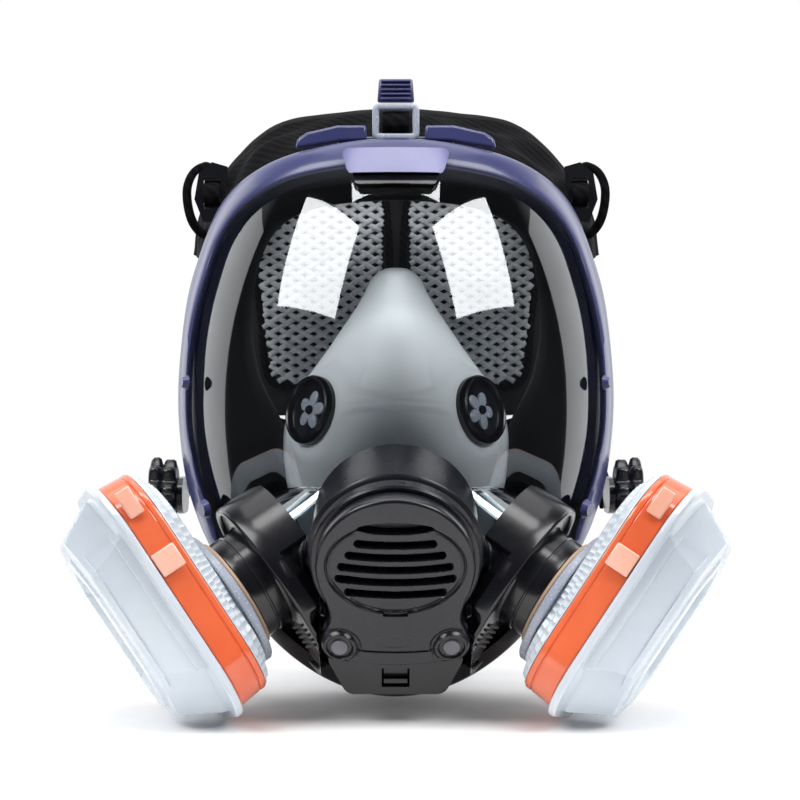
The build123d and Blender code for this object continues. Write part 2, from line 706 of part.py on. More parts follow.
def make_top_buckle():
    """Base with two ears above the frame, and the ring with its ribbed tab between them."""
    ear = [(12.5, 107.6), (24, 107.2), (43, 104.2), (42, 108.5), (38, 111), (25, 114), (12.5, 114)]
    with BuildPart() as base:
        for side in SIDES.values():
            with BuildSketch(Plane.XZ.offset(-TOP_BUCKLE_Y - 1)):
                with BuildLine():
                    Polyline(*[(side * x, z) for x, z in ear], close=True)
                make_face()
            extrude(amount=4)
        with Locations((0, TOP_BUCKLE_Y + 4.5, 107.5)):
            Box(50, 3, 5)
        with Locations((-17, TOP_BUCKLE_Y + 2, 108), (17, TOP_BUCKLE_Y + 2, 108)):
            Box(6, 8, 4)
    keep("top_buckle_base", base.part)

    with BuildPart() as ring:
        with BuildSketch(Plane.XZ.offset(-TOP_BUCKLE_Y - 1.5)):
            with Locations((0, 115.6)):
                RectangleRounded(20.6, 16, 3)
                RectangleRounded(12.6, 9.6, 1.5, mode=Mode.SUBTRACT)
        extrude(amount=5)
    keep("top_buckle_ring", ring.part)

    with BuildPart() as tab:
        with Locations((0, TOP_BUCKLE_Y - 1, 129)):
            Box(16, 3, 10.4)
        for rib in range(5):
            with Locations((0, TOP_BUCKLE_Y - 3, 125.4 + rib * 1.9)):
                Box(15, 1.4, 0.9)
    keep("top_buckle_tab", tab.part)


def make_upper_buckle(label, side):
    """Two-slot buckle beside the top of the frame."""
    x, z = UPPER_BUCKLE
    with BuildPart() as buckle:
        with BuildSketch(Plane.XZ.offset(-UPPER_BUCKLE_BACK_Y)):
            with BuildLine():
                Polyline(*[(side * (x + across), z + up) for across, up in UPPER_BUCKLE_EDGE],
                         close=True)
            make_face()
            for height in UPPER_SLOTS:
                with Locations((side * x, z + height)):
                    RectangleRounded(8, 5, 1, mode=Mode.SUBTRACT)
        extrude(amount=UPPER_BUCKLE_THICK)
    keep("upper_buckle_" + label, buckle.part)


def lobed_layer(side, start_x, radius, lobes, lobe_place_r, lobe_r):
    """One layer of the lower adjuster: a round plate with lobes round its edge."""
    with BuildPart() as layer:
        with BuildSketch(Plane.YZ.offset(side * start_x)):
            with Locations(KNOB_PLACE):
                Circle(radius)
                with PolarLocations(lobe_place_r, lobes):
                    Circle(lobe_r)
        extrude(amount=side * KNOB_LAYER)
    return layer.part


def make_lower_adjuster(label, side):
    """Lobed strap adjuster and the lug that carries it on the frame."""
    with BuildPart() as knob:
        add(lobed_layer(side, KNOB_START_X, 11, 8, 10.4, 2.4))
        add(lobed_layer(side, KNOB_START_X + KNOB_LAYER, 12, 6, 11, 3.2))
    keep("lower_adjuster_" + label, knob.part)

    with BuildPart() as lug:
        with BuildSketch(Plane.YZ.offset(side * (KNOB_START_X - GAP))):
            with Locations((KNOB_PLACE[0] + 8, KNOB_PLACE[1] - 3)):
                SlotOverall(30, 16)
        extrude(amount=-side * LUG_THICK)
    keep("lower_lug_" + label, lug.part)


def make_straps():
    """Webbing from the harness to each buckle."""
    with BuildPart() as top:
        with Locations((0, 2, 127.6)):
            Box(13, 56, STRAP_THICK)
    keep("top_strap", top.part)
    with BuildPart() as upper:
        for side in SIDES.values():
            with Locations((side * UPPER_BUCKLE[0], 10.9, UPPER_BUCKLE[1] + UPPER_SLOTS[1])):
                Box(7.4, 7.6, STRAP_THICK)
    keep("upper_straps", upper.part)
    with BuildPart() as lower:
        for side in SIDES.values():
            with Locations((side * 95, 24, -47)):
                Box(STRAP_THICK, 46, 14)
    keep("lower_straps", lower.part)


def main():
    os.makedirs("parts", exist_ok=True)
    make_lens()
    make_frame()
    make_chin()
    make_frame_screws()
    make_top_flap()
    make_face_seal()
    make_nose_cup()
    make_housing()
    make_exhalation_parts()
    make_cover()
    make_chin_bracket()
    make_chin_latch()
    for label, side in SIDES.items():
        make_nose_valve(label, side)
        make_flange(label, side)
        make_collar(label, side)
        make_cartridge_body(label, side)
        make_cartridge_filling(label, side)
        make_retainer(label, side)
        make_upper_buckle(label, side)
        make_lower_adjuster(label, side)
    make_head_pad()
    make_crown_band()
    make_top_buckle()
    make_straps()
    for name, part in NODES.items():
        export_step(part, "parts/" + name + ".step")


main()
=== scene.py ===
"""Looks of the full-face respirator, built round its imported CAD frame.

Lengths in this script are millimetres, as in the part's own frame: +X right, +Y to the back of
the head, +Z up. make_piece turns them into metres.
"""
import json
import math

import bmesh
import bpy
import numpy as np
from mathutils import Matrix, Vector, noise

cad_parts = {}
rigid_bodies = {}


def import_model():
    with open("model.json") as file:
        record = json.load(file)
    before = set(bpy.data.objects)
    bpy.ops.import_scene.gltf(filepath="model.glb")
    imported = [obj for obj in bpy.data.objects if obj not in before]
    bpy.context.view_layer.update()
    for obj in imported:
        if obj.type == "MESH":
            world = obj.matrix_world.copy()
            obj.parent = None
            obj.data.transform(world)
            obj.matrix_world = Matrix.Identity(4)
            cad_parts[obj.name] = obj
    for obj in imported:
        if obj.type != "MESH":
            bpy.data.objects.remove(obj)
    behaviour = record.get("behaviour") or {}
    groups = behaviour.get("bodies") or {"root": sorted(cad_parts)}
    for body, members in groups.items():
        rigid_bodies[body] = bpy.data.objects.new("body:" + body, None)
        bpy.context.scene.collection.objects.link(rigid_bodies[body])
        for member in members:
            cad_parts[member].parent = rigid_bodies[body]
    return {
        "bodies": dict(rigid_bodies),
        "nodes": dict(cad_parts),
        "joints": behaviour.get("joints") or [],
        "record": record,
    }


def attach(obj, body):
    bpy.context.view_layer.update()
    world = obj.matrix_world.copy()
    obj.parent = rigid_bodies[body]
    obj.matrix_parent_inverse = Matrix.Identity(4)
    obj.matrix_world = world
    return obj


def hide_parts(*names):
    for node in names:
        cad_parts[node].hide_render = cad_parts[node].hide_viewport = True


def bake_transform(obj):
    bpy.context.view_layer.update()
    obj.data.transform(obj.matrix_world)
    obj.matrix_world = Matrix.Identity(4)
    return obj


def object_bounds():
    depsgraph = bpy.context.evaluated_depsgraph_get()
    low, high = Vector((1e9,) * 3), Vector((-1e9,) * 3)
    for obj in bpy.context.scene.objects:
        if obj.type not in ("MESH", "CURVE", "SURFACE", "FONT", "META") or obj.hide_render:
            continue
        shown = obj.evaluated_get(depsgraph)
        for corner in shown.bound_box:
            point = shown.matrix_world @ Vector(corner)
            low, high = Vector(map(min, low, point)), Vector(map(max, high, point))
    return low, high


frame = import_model()
cad_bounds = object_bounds()

MM = 0.001
SIDES = {"left": -1, "right": 1}

# ---------------------------------------------------------------- the part's driving dimensions
HEAD_RADIUS = 97.0
WIDEST_Z = -5.0
UPPER_CURVE = 205.0
LOWER_CURVE = 230.0
FRAME_BACK_Y = -16.0
FRAME_END_Z = -66.0
SEAL_BACK_Y = 12.0

HOUSING_CENTRE = np.array((0.0, -117.0, -68.0))
HOUSING_TILT = math.radians(25.0)
HOUSING_R = 34.0
PIN_X, PIN_UP = 22.5, -36.0

PORT_BASE = (50.0, -78.0, -72.5)
PORT_AXIS = (0.79, -0.28, -0.53)
PORT_LONG = (-0.557, 0.0, -0.830)
COLLAR_R = 22.5
COLLAR_LENGTH = 20.0
FLANGE_SHIFT = 10.0
CARTRIDGE_START = COLLAR_LENGTH + 1.5
CARTRIDGE_SHIFT = -14.0
CARTRIDGE_LENGTH = 110.0
CARTRIDGE_WIDTH = 87.0

LENS_EDGE = [(0, 98), (41.5, 94), (64, 84.5), (77.5, 70), (85, 49.5), (90, 27), (92, 5),
             (91.6, -17), (87, -36), (77, -47), (61, -49), (51, -60), (46, -78), (34, -92), (0, -98)]
FRAME_OUTER = [(0, 107), (41, 102.5), (65, 94), (79, 82), (87, 62), (92, 45), (94.5, 23),
               (96, 0), (95, -20), (92, -39), (86, -56), (81, FRAME_END_Z)]
FRAME_INNER = [(0, 95.5), (40.5, 91.5), (62.5, 82.5), (75.5, 68.5), (83, 48.5), (88, 27),
               (90, 5), (89.5, -17), (85.5, -36), (80, -52), (77.5, -60), (76, FRAME_END_Z)]
MASK_EDGE = [(0, 101), (41, 97), (65, 88), (78.5, 72), (87, 48), (91.5, 20), (92.5, 0),
             (91, -25), (85, -52), (74, -78), (56, -102), (38, -117), (19, -126), (0, -129)]
FACE_OPENING = [(0, 88), (38, 84), (58, 70), (66, 40), (63, 10), (53, -12), (46, -30), (43, -52), (36, -70),
                (27, -84), (14, -92), (0, -94)]
CUP_SECTIONS = ((56, 9, -36), (40, 17, -50), (22, 29, -64), (-8, 48.5, -79), (-36, 50, -80),
                (-62, 43, -70), (-82, 30, -48))
NOSE_VALVE_PLACE = (35.5, -57.5, -8.0)
NOSE_VALVE_AXIS = (0.76, -0.62, 0.20)


# ---------------------------------------------------------------- geometry helpers
def unit(vector):
    vector = np.array(vector, dtype=float)
    return vector / np.linalg.norm(vector)


def head_radius(z, offset=0.0):
    """Distance of the lens surface from the upright axis at height z."""
    curve = UPPER_CURVE if z >= WIDEST_Z else LOWER_CURVE
    return HEAD_RADIUS - curve + math.sqrt((curve + offset) ** 2 - (z - WIDEST_Z) ** 2)


def head_point(x, z, offset=0.0, deepest_y=FRAME_BACK_Y):
    """Point on the head form at a front-view place, never further back than deepest_y."""
    radius = head_radius(z, offset)
    y = -math.sqrt(max(radius ** 2 - x ** 2, deepest_y ** 2))
    return (x, y, z)


class Axes:
    """A local frame with its origin in millimetres: along x, along y and outwards."""

    def __init__(self, origin, x_way, out_way):
        self.origin = np.array(origin, dtype=float)
        self.out = unit(out_way)
        self.x = unit(x_way)
        self.y = np.cross(self.out, self.x)

    def at(self, x, y, out=0.0):
        return self.origin + self.x * x + self.y * y + self.out * out

    def local(self, point):
        away = np.array(point) - self.origin
        return away @ self.x, away @ self.y, away @ self.out


def housing_axes():
    out = (0.0, -math.cos(HOUSING_TILT), -math.sin(HOUSING_TILT))
    return Axes(HOUSING_CENTRE, (1, 0, 0), out)


def port_axes(side, height=0.0):
    out = unit((side * PORT_AXIS[0], PORT_AXIS[1], PORT_AXIS[2]))
    base = np.array((side * PORT_BASE[0], PORT_BASE[1], PORT_BASE[2]))
    down = (side * PORT_LONG[0], PORT_LONG[1], PORT_LONG[2])
    return Axes(base + out * height, down, out)


def nose_valve_axes(side):
    place = (side * NOSE_VALVE_PLACE[0], NOSE_VALVE_PLACE[1], NOSE_VALVE_PLACE[2])
    out = (side * NOSE_VALVE_AXIS[0], NOSE_VALVE_AXIS[1], NOSE_VALVE_AXIS[2])
    return Axes(place, np.cross((0, 1, 0), out), out)


def smooth_line(points, per_span=8, closed=False):
    """Catmull-Rom line through points."""
    points = [np.array(p, dtype=float) for p in points]
    count = len(points)
    line = []
    spans = count if closed else count - 1
    for index in range(spans):
        if closed:
            p0, p1, p2, p3 = (points[(index + k) % count] for k in (-1, 0, 1, 2))
        else:
            p1, p2 = points[index], points[index + 1]
            p0 = points[index - 1] if index else 2 * p1 - p2
            p3 = points[index + 2] if index + 2 < count else 2 * p2 - p1
        for step in range(per_span):
            t = step / per_span
            line.append(0.5 * (2 * p1 + (p2 - p0) * t + (2 * p0 - 5 * p1 + 4 * p2 - p3) * t ** 2
                               + (3 * p1 - p0 - 3 * p2 + p3) * t ** 3))
    if not closed:
        line.append(points[-1])
    return np.array(line)


def mirrored(half):
    """A half outline and its mirror image, from the bottom left over the top."""
    return [(-x, z) for x, z in reversed(half) if x > 0] + list(half)


def full_loop(half, per_span=8):
    """Closed smooth outline from a right half that starts and ends on the middle line."""
    return smooth_line(mirrored(half[:-1]) + [half[-1]], per_span, closed=True)


def inset_loop(loop, amount):
    """Closed outline with each point moved inwards."""
    along = np.roll(loop, -1, axis=0) - np.roll(loop, 1, axis=0)
    along /= np.linalg.norm(along, axis=1)[:, None]
    inwards = np.stack((along[:, 1], -along[:, 0]), axis=1)
    return loop + inwards * amount


def resampled(loop, count):
    """The same closed outline with evenly spaced points."""
    closed = np.vstack((loop, loop[:1]))
    steps = np.linalg.norm(np.diff(closed, axis=0), axis=1)
    reach = np.concatenate(([0], np.cumsum(steps)))
    wanted = np.linspace(0, reach[-1], count, endpoint=False)
    return np.stack([np.interp(wanted, reach, closed[:, k]) for k in range(2)], axis=1)


def smoothstep(low, high, value):
    t = np.clip((np.asarray(value, dtype=float) - low) / (high - low), 0, 1)
    return t * t * (3 - 2 * t)


def grid_faces(rows, columns, closed):
    faces = []
    last = columns if closed else columns - 1
    for row in range(rows - 1):
        for column in range(last):
            right = (column + 1) % columns
            faces.append((row * columns + column, row * columns + right,
                          (row + 1) * columns + right, (row + 1) * columns + column))
    return faces


def make_piece(name, points, faces, body, slot, material, replaces=(), sharp=40):
    """Turn points in millimetres into an object that rides on a body."""
    mesh = bpy.data.meshes.new(name)
    mesh.from_pydata([tuple(np.array(p) * MM) for p in points], [], faces)
    mesh.validate()
    piece = bpy.data.objects.new(name, mesh)
    bpy.context.scene.collection.objects.link(piece)
    for polygon in mesh.polygons:
        polygon.use_smooth = True
    if sharp:
        mesh.set_sharp_from_angle(angle=math.radians(sharp))
    mesh.materials.append(material)
    if body:
        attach(piece, body)
    if replaces:
        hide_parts(*replaces)
    fix_normals(piece)
    return piece


def fix_normals(piece):
    work = bmesh.new()
    work.from_mesh(piece.data)
    bmesh.ops.remove_doubles(work, verts=work.verts, dist=0.00001)
    bmesh.ops.recalc_face_normals(work, faces=work.faces)
    work.to_mesh(piece.data)
    work.free()


def skin(name, rows, body, slot, material, closed=True, ends="", replaces=(), sharp=40):
    """Surface through rows of points. ends: "" open, "caps" closes both, "ring" joins them."""
    rows = np.array(rows)
    count, columns = rows.shape[0], rows.shape[1]
    points = rows.reshape(-1, 3)
    faces = grid_faces(count, columns, closed)
    if ends == "ring":
        for column in range(columns if closed else columns - 1):
            right = (column + 1) % columns
            low = (count - 1) * columns
            faces.append((low + column, low + right, right, column))
    if ends == "caps":
        points = np.vstack((points, rows[0].mean(axis=0)[None], rows[-1].mean(axis=0)[None]))
        first, last = count * columns, count * columns + 1
        for column in range(columns):
            right = (column + 1) % columns
            faces.append((first, right, column))
            faces.append((last, (count - 1) * columns + column, (count - 1) * columns + right))
    return make_piece(name, points, faces, body, slot, material, replaces, sharp)


def lathe(name, axes, profile, body, slot, material, count=96, ends="ring", replaces=(), sharp=35,
          squash_y=1.0):
    """Round piece about an axis from (radius, height) points."""
    rows = []
    for radius, height in profile:
        ring = []
        for step in range(count):
            turn = 2 * math.pi * step / count
            ring.append(axes.at(radius * math.cos(turn), radius * squash_y * math.sin(turn), height))
        rows.append(ring)
    return skin(name, rows, body, slot, material, True, ends, replaces, sharp)


def rounded_edge(piece, width, segments=3, angle=30):
    bevel = piece.modifiers.new("edge", "BEVEL")
    bevel.width = width * MM
    bevel.segments = segments
    bevel.limit_method = "ANGLE"
    bevel.angle_limit = math.radians(angle)
    bevel.harden_normals = False
    return piece


def block(name, corners, thickness_way, body, slot, material, replaces=(), edge=0.6):
    """Flat outline given as points, thickened by a vector, with rounded edges."""
    front = [np.array(p, dtype=float) for p in corners]
    back = [p + np.array(thickness_way, dtype=float) for p in front]
    count = len(front)
    faces = [tuple(range(count)), tuple(reversed(range(count, 2 * count)))]
    for index in range(count):
        following = (index + 1) % count
        faces.append((index, following, count + following, count + index))
    piece = make_piece(name, front + back, faces, body, slot, material, replaces)
    return rounded_edge(piece, edge)


# ---------------------------------------------------------------- materials
def new_material(name):
    material = bpy.data.materials.new(name)
    material.use_nodes = True
    nodes = material.node_tree.nodes
    shader = nodes["Principled BSDF"]
    return material, nodes, material.node_tree.links, shader


def object_noise(nodes, links, scale, detail=4.0, stretch=(1, 1, 1)):
    coords = nodes.new("ShaderNodeTexCoord")
    mapping = nodes.new("ShaderNodeMapping")
    mapping.inputs["Scale"].default_value = stretch
    texture = nodes.new("ShaderNodeTexNoise")
    texture.inputs["Scale"].default_value = scale
    texture.inputs["Detail"].default_value = detail
    links.new(coords.outputs["Object"], mapping.inputs["Vector"])
    links.new(mapping.outputs["Vector"], texture.inputs["Vector"])
    return texture


def ramp(nodes, links, source, low, high, from_low=0.35, from_high=0.65):
    """Colour that runs from low to high as a 0-1 source does."""
    node = nodes.new("ShaderNodeValToRGB")
    node.color_ramp.elements[0].position = from_low
    node.color_ramp.elements[1].position = from_high
    node.color_ramp.elements[0].color = (*low, 1)
    node.color_ramp.elements[1].color = (*high, 1)
    links.new(source, node.inputs["Fac"])
    return node.outputs["Color"]


def roughness_from(nodes, links, source, low, high, shader):
    spread = nodes.new("ShaderNodeMapRange")
    spread.inputs["To Min"].default_value = low
    spread.inputs["To Max"].default_value = high
    links.new(source, spread.inputs["Value"])
    links.new(spread.outputs["Result"], shader.inputs["Roughness"])


def bump_from(nodes, links, source, strength, depth_mm, shader):
    bump = nodes.new("ShaderNodeBump")
    bump.inputs["Strength"].default_value = strength
    bump.inputs["Distance"].default_value = depth_mm * MM
    links.new(source, bump.inputs["Height"])
    links.new(bump.outputs["Normal"], shader.inputs["Normal"])


def plastic(name, dark, light, rough=(0.25, 0.4), grain=900.0, grain_depth=0.04, coat=0.0,
            sheen=0.0, clear=0.0, under=0.0):
    """Moulded plastic or rubber: slow colour drift, fine grain and uneven gloss."""
    material, nodes, links, shader = new_material(name)
    drift = object_noise(nodes, links, 25.0)
    fine = object_noise(nodes, links, grain, 6.0)
    links.new(ramp(nodes, links, drift.outputs["Fac"], dark, light), shader.inputs["Base Color"])
    roughness_from(nodes, links, fine.outputs["Fac"], rough[0], rough[1], shader)
    bump_from(nodes, links, fine.outputs["Fac"], 0.25, grain_depth, shader)
    shader.inputs["Coat Weight"].default_value = coat
    shader.inputs["Coat Roughness"].default_value = 0.12
    shader.inputs["Sheen Weight"].default_value = sheen
    shader.inputs["Transmission Weight"].default_value = clear
    if under:
        shader.inputs["Subsurface Weight"].default_value = under
        shader.inputs["Subsurface Scale"].default_value = 0.004
        shader.inputs["Subsurface Radius"].default_value = (1.0, 0.9, 0.85)
    return material


def clear_plastic(name, tint, haze, reflects):
    """Clear moulding: see-through, with a mirror-like skin that strengthens at its edges."""
    material, nodes, links, shader = new_material(name)
    fine = object_noise(nodes, links, 60.0, 2.0)
    links.new(ramp(nodes, links, fine.outputs["Fac"], [c * 0.94 for c in haze], haze),
              shader.inputs["Base Color"])
    roughness_from(nodes, links, fine.outputs["Fac"], 0.015, 0.045, shader)
    shader.inputs["Metallic"].default_value = 1.0
    through = nodes.new("ShaderNodeBsdfTransparent")
    through.inputs["Color"].default_value = (*tint, 1)
    facing = nodes.new("ShaderNodeFresnel")
    facing.inputs["IOR"].default_value = 1.5
    share = nodes.new("ShaderNodeMapRange")
    share.inputs["To Min"].default_value = reflects
    mix = nodes.new("ShaderNodeMixShader")
    links.new(facing.outputs["Fac"], share.inputs["Value"])
    links.new(share.outputs["Result"], mix.inputs["Fac"])
    links.new(through.outputs["BSDF"], mix.inputs[1])
    links.new(shader.outputs["BSDF"], mix.inputs[2])
    links.new(mix.outputs["Shader"], nodes["Material Output"].inputs["Surface"])
    return material


def webbing(name, dark, light, pitch=1.1):
    """Ribbed woven band: fine diagonal ribs broken up by a fine fuzz, with a soft sheen."""
    material, nodes, links, shader = new_material(name)
    coords = nodes.new("ShaderNodeTexCoord")
    ribs = nodes.new("ShaderNodeTexWave")
    ribs.bands_direction = "DIAGONAL"
    ribs.inputs["Scale"].default_value = 1000.0 / pitch / 6.0
    ribs.inputs["Distortion"].default_value = 0.6
    ribs.inputs["Detail"].default_value = 2.0
    links.new(coords.outputs["Object"], ribs.inputs["Vector"])
    fuzz = object_noise(nodes, links, 1500.0, 5.0)
    both = nodes.new("ShaderNodeMath")
    both.operation = "MULTIPLY"
    links.new(ribs.outputs["Fac"], both.inputs[0])
    links.new(fuzz.outputs["Fac"], both.inputs[1])
    links.new(ramp(nodes, links, both.outputs["Value"], dark, light, 0.1, 0.6),
              shader.inputs["Base Color"])
    roughness_from(nodes, links, fuzz.outputs["Fac"], 0.65, 0.95, shader)
    bump_from(nodes, links, both.outputs["Value"], 0.6, 0.25, shader)
    shader.inputs["Sheen Weight"].default_value = 0.01
    shader.inputs["Specular IOR Level"].default_value = 0.1
    shader.inputs["Sheen Roughness"].default_value = 0.4
    return material


MATERIALS = {
    "lens": clear_plastic("lens_clear", (0.95, 0.97, 0.98), (0.96, 0.98, 1.0), 0.07),
    "dome": clear_plastic("lens_dome", (0.66, 0.72, 0.75), (0.92, 0.96, 0.98), 0.16),
    "blue": plastic("blue_violet", (0.036, 0.040, 0.125), (0.052, 0.057, 0.165), (0.24, 0.36), coat=0.25),
    # The frame's violet plastic again, painted paler as a painted highlight for the top light that falls on the
    # flap's upward face.
    "violet_painted_light": plastic("violet_with_painted_light", (0.10, 0.10, 0.27), (0.13, 0.13, 0.33), (0.18, 0.3), coat=0.3),
    "black": plastic("black_moulded", (0.004, 0.0042, 0.006), (0.008, 0.0085, 0.011), (0.18, 0.28),
                     grain=300.0, grain_depth=0.004, coat=0.2),
    "graphite": plastic("graphite_satin", (0.0045, 0.005, 0.0085), (0.008, 0.0085, 0.0125), (0.24, 0.34),
                        grain=500.0, grain_depth=0.008, coat=0.1),
    "pin_grey": plastic("pin_grey", (0.10, 0.105, 0.12), (0.15, 0.155, 0.17), (0.3, 0.42)),
    "rubber": plastic("black_silicone", (0.0035, 0.0035, 0.0045), (0.007, 0.007, 0.008), (0.4, 0.55),
                      grain=400.0, grain_depth=0.01),
    "silicone": plastic("grey_silicone", (0.80, 0.85, 0.87), (0.85, 0.90, 0.92), (0.38, 0.5),
                        grain_depth=0.03, under=0.15),
    "milk": plastic("milky_white", (0.60, 0.66, 0.73), (0.69, 0.745, 0.80), (0.16, 0.28), coat=0.2,
                    clear=0.1, under=0.25),
    "orange": plastic("orange_gloss", (0.72, 0.125, 0.045), (0.80, 0.17, 0.07), (0.12, 0.22), coat=0.5,
                      under=0.2),
    "peach": plastic("peach_clip", (0.80, 0.40, 0.29), (0.86, 0.50, 0.39), (0.15, 0.25), coat=0.4, under=0.2),
    "frost": plastic("grey_frost", (0.42, 0.46, 0.55), (0.52, 0.56, 0.64), (0.2, 0.32), clear=0.25,
                     under=0.2),
    "tan": plastic("tan_gasket", (0.42, 0.27, 0.17), (0.52, 0.36, 0.24), (0.5, 0.7)),
    "cloth": plastic("black_knit", (0.0025, 0.0025, 0.003), (0.007, 0.007, 0.008), (0.85, 0.95), grain=900.0,
                     grain_depth=0.25, sheen=0.04),
    "ribbed": webbing("ribbed_elastic", (0.001, 0.001, 0.0015), (0.006, 0.0062, 0.0078), 1.6),
    "web": webbing("black_webbing", (0.001, 0.001, 0.0015), (0.007, 0.0072, 0.009)),
    "mesh": plastic("grey_yarn", (0.40, 0.415, 0.435), (0.76, 0.78, 0.805), (0.55, 0.8), grain=1800.0,
                    grain_depth=0.2, sheen=0.15),
    "felt": plastic("white_felt", (0.72, 0.72, 0.70), (0.84, 0.84, 0.82), (0.85, 0.95), grain_depth=0.4),
    "carbon": plastic("carbon_bed", (0.008, 0.008, 0.008), (0.03, 0.03, 0.03), (0.6, 0.9), grain=700.0,
                      grain_depth=0.8),
}


# ---------------------------------------------------------------- lens and frame
def make_lens():
    edge = smooth_line(LENS_EDGE, 9)
    columns = 101
    rows = []
    for x_edge, z in edge[1:-1]:
        radius = head_radius(z)
        widest = math.asin(min(0.999, max(x_edge, 0.3) / radius))
        turns = np.linspace(-widest, widest, columns)
        rows.append([(radius * math.sin(t), -radius * math.cos(t), z) for t in turns])
    skin("clear_lens", rows, "facepiece", "clear_lens", MATERIALS["lens"], closed=False,
         replaces=("lens",), sharp=0)


def reach_to_head(axes, x, y, offset, farthest):
    """Depth below a local plane at which a line meets the head form."""
    depth = 0.0
    while depth < farthest:
        point = axes.at(x, y, -depth)
        if math.hypot(point[0], point[1]) < head_radius(max(min(point[2], 110), -135), offset):
            return depth
        depth += 0.25
    return farthest


def make_lens_sleeves():
    """Clear dome that joins the lens to each port flange."""
    steps, levels = 120, 14
    for label, side in SIDES.items():
        axes = port_axes(side)
        outer = []
        for level in range(levels + 1):
            share = level / levels
            radius = COLLAR_R + 2.9 + 1.2 * share ** 2
            ring = []
            for step in range(steps):
                turn = 2 * math.pi * step / steps
                x, y = radius * math.cos(turn), radius * math.sin(turn)
                ring.append(axes.at(x, y, -0.3 - share * reach_to_head(axes, x, y, 0.5, 33.0)))
            outer.append(ring)
        sleeve = skin("lens_sleeve_" + label, outer, "facepiece", "clear_lens", MATERIALS["dome"],
                      ends="", replaces=("lens",), sharp=0)
        wall = sleeve.modifiers.new("wall", "SOLIDIFY")
        wall.thickness = 2.0 * MM
        wall.offset = -1


# share across the band from its inner to its outer edge, and height above the lens
FRAME_PROFILE = ((0, 1.7), (0, 3.4), (0.05, 4.2), (0.16, 4.75), (0.35, 5.0), (0.62, 4.95), (0.82, 4.6),
                 (0.94, 3.9), (1.0, 2.6), (1.0, 0.0), (1.0, -3.2), (0.92, -4.0), (0.5, -4.0),
                 (0.1, -4.0), (0, -3.2), (0, -1.7))


def band_rows(inner, outer, profile):
    """Rows of a band between two front-view lines, one row for each profile point."""
    rows = []
    for share, height in profile:
        middle = inner + (outer - inner) * share
        rows.append([head_point(x, z, height) for x, z in middle])
    return np.array(rows)


def make_frame():
    inner = smooth_line(mirrored(FRAME_INNER), 8)
    outer = smooth_line(mirrored(FRAME_OUTER), 8)
    rows = band_rows(inner, outer, FRAME_PROFILE).transpose(1, 0, 2)
    skin("blue_frame", rows, "facepiece", "blue_plastic", MATERIALS["blue"], ends="caps",
         replaces=("frame_upper",), sharp=50)


def make_chin_band():
    loop = full_loop(MASK_EDGE, 10)
    inner = inset_loop(loop, 7)
    keep = [i for i in range(len(loop)) if loop[i][1] < FRAME_END_Z - 0.3]
    start = next(i for i in range(len(keep)) if keep[i] + 1 not in keep)
    order = keep[start + 1:] + keep[:start + 1] if start + 1 < len(keep) else keep
    profile = [(share, min(height, 4.0) if height > 0 else height)
               for share, height in FRAME_PROFILE]
    rows = band_rows(inner[order], loop[order], profile).transpose(1, 0, 2)
    skin("chin_band", rows, "facepiece", "black_plastic", MATERIALS["black"], ends="caps",
         replaces=("frame_lower",), sharp=50)


# ---------------------------------------------------------------- silicone
def make_face_seal():
    """Skirt, rolled lip and inward curl to the face opening."""
    count = 220
    outer = resampled(full_loop(MASK_EDGE), count)
    opening = resampled(full_loop(FACE_OPENING), count)

    def ring(share, y=None, inset=1.0):
        edge = inset_loop(outer, inset)
        line = edge + (opening - edge) * share
        if y is not None:
            return [(x, y, z) for x, z in line]
        return [head_point(x, z, -4.6) for x, z in line]

    front = np.array(ring(0))
    rows = [ring(0, inset=4.0), front]
    for step in range(1, 8):
        back = np.array(ring(0, y=SEAL_BACK_Y - 4))
        share = step / 8
        fold = 0.5 * math.sin(share * math.pi * 4)
        row = front + (back - front) * share
        centre = np.array((0, 0, 0))
        outwards = row - centre
        outwards[:, 1] = 0
        outwards /= np.linalg.norm(outwards, axis=1)[:, None]
        rows.append(row - outwards * (0.5 - fold))
    rows.append(ring(0.0, y=SEAL_BACK_Y - 3, inset=1.1))
    rows.append(ring(0.02, y=SEAL_BACK_Y - 1.2, inset=1.1))
    for share, y in ((0.06, 11.6), (0.2, 12.0), (0.45, 11.9), (0.7, 11.3), (0.9, 10.2), (1.0, 8.8),
                     (0.97, 8.2), (0.8, 8.6), (0.5, 9.2), (0.2, 9.0)):
        rows.append(ring(share, y=y))
    rows.append(ring(0.0, y=8.0, inset=4.0))
    skin("silicone_seal", rows, "facepiece", "black_rubber", MATERIALS["rubber"], ends="ring",
         replaces=("face_seal",), sharp=60)


def cup_section(z):
    """Half width and ridge depth of the nose cup at a height, smoothly between its sections."""
    heights = [s[0] for s in CUP_SECTIONS][::-1]
    line = smooth_line([(s[0], s[1], s[2]) for s in CUP_SECTIONS], 12)[::-1]
    width = np.interp(z, line[:, 0], line[:, 1])
    ridge = np.interp(z, line[:, 0], line[:, 2])
    low, high = heights[0], heights[-1]
    top = math.sqrt(max(0.0, 1 - max(0.0, (z - (high - 6)) / 6) ** 2))
    bottom = math.sqrt(max(0.0, 1 - max(0.0, ((low + 8) - z) / 8) ** 2))
    pinch = max(0.03, min(top, bottom))
    return width * (0.35 + 0.65 * pinch), ridge * (0.25 + 0.75 * pinch)


def valve_seat(point):
    """Flatten the cup under each round nose valve."""
    axes = nose_valve_axes(1 if point[0] > 0 else -1)
    x, y, out = axes.local(point)
    near = 1 - smoothstep(16.0, 25.0, math.hypot(x, y))
    if abs(out) > 22:
        return point
    return point + axes.out * float(near) * (-0.6 - out)


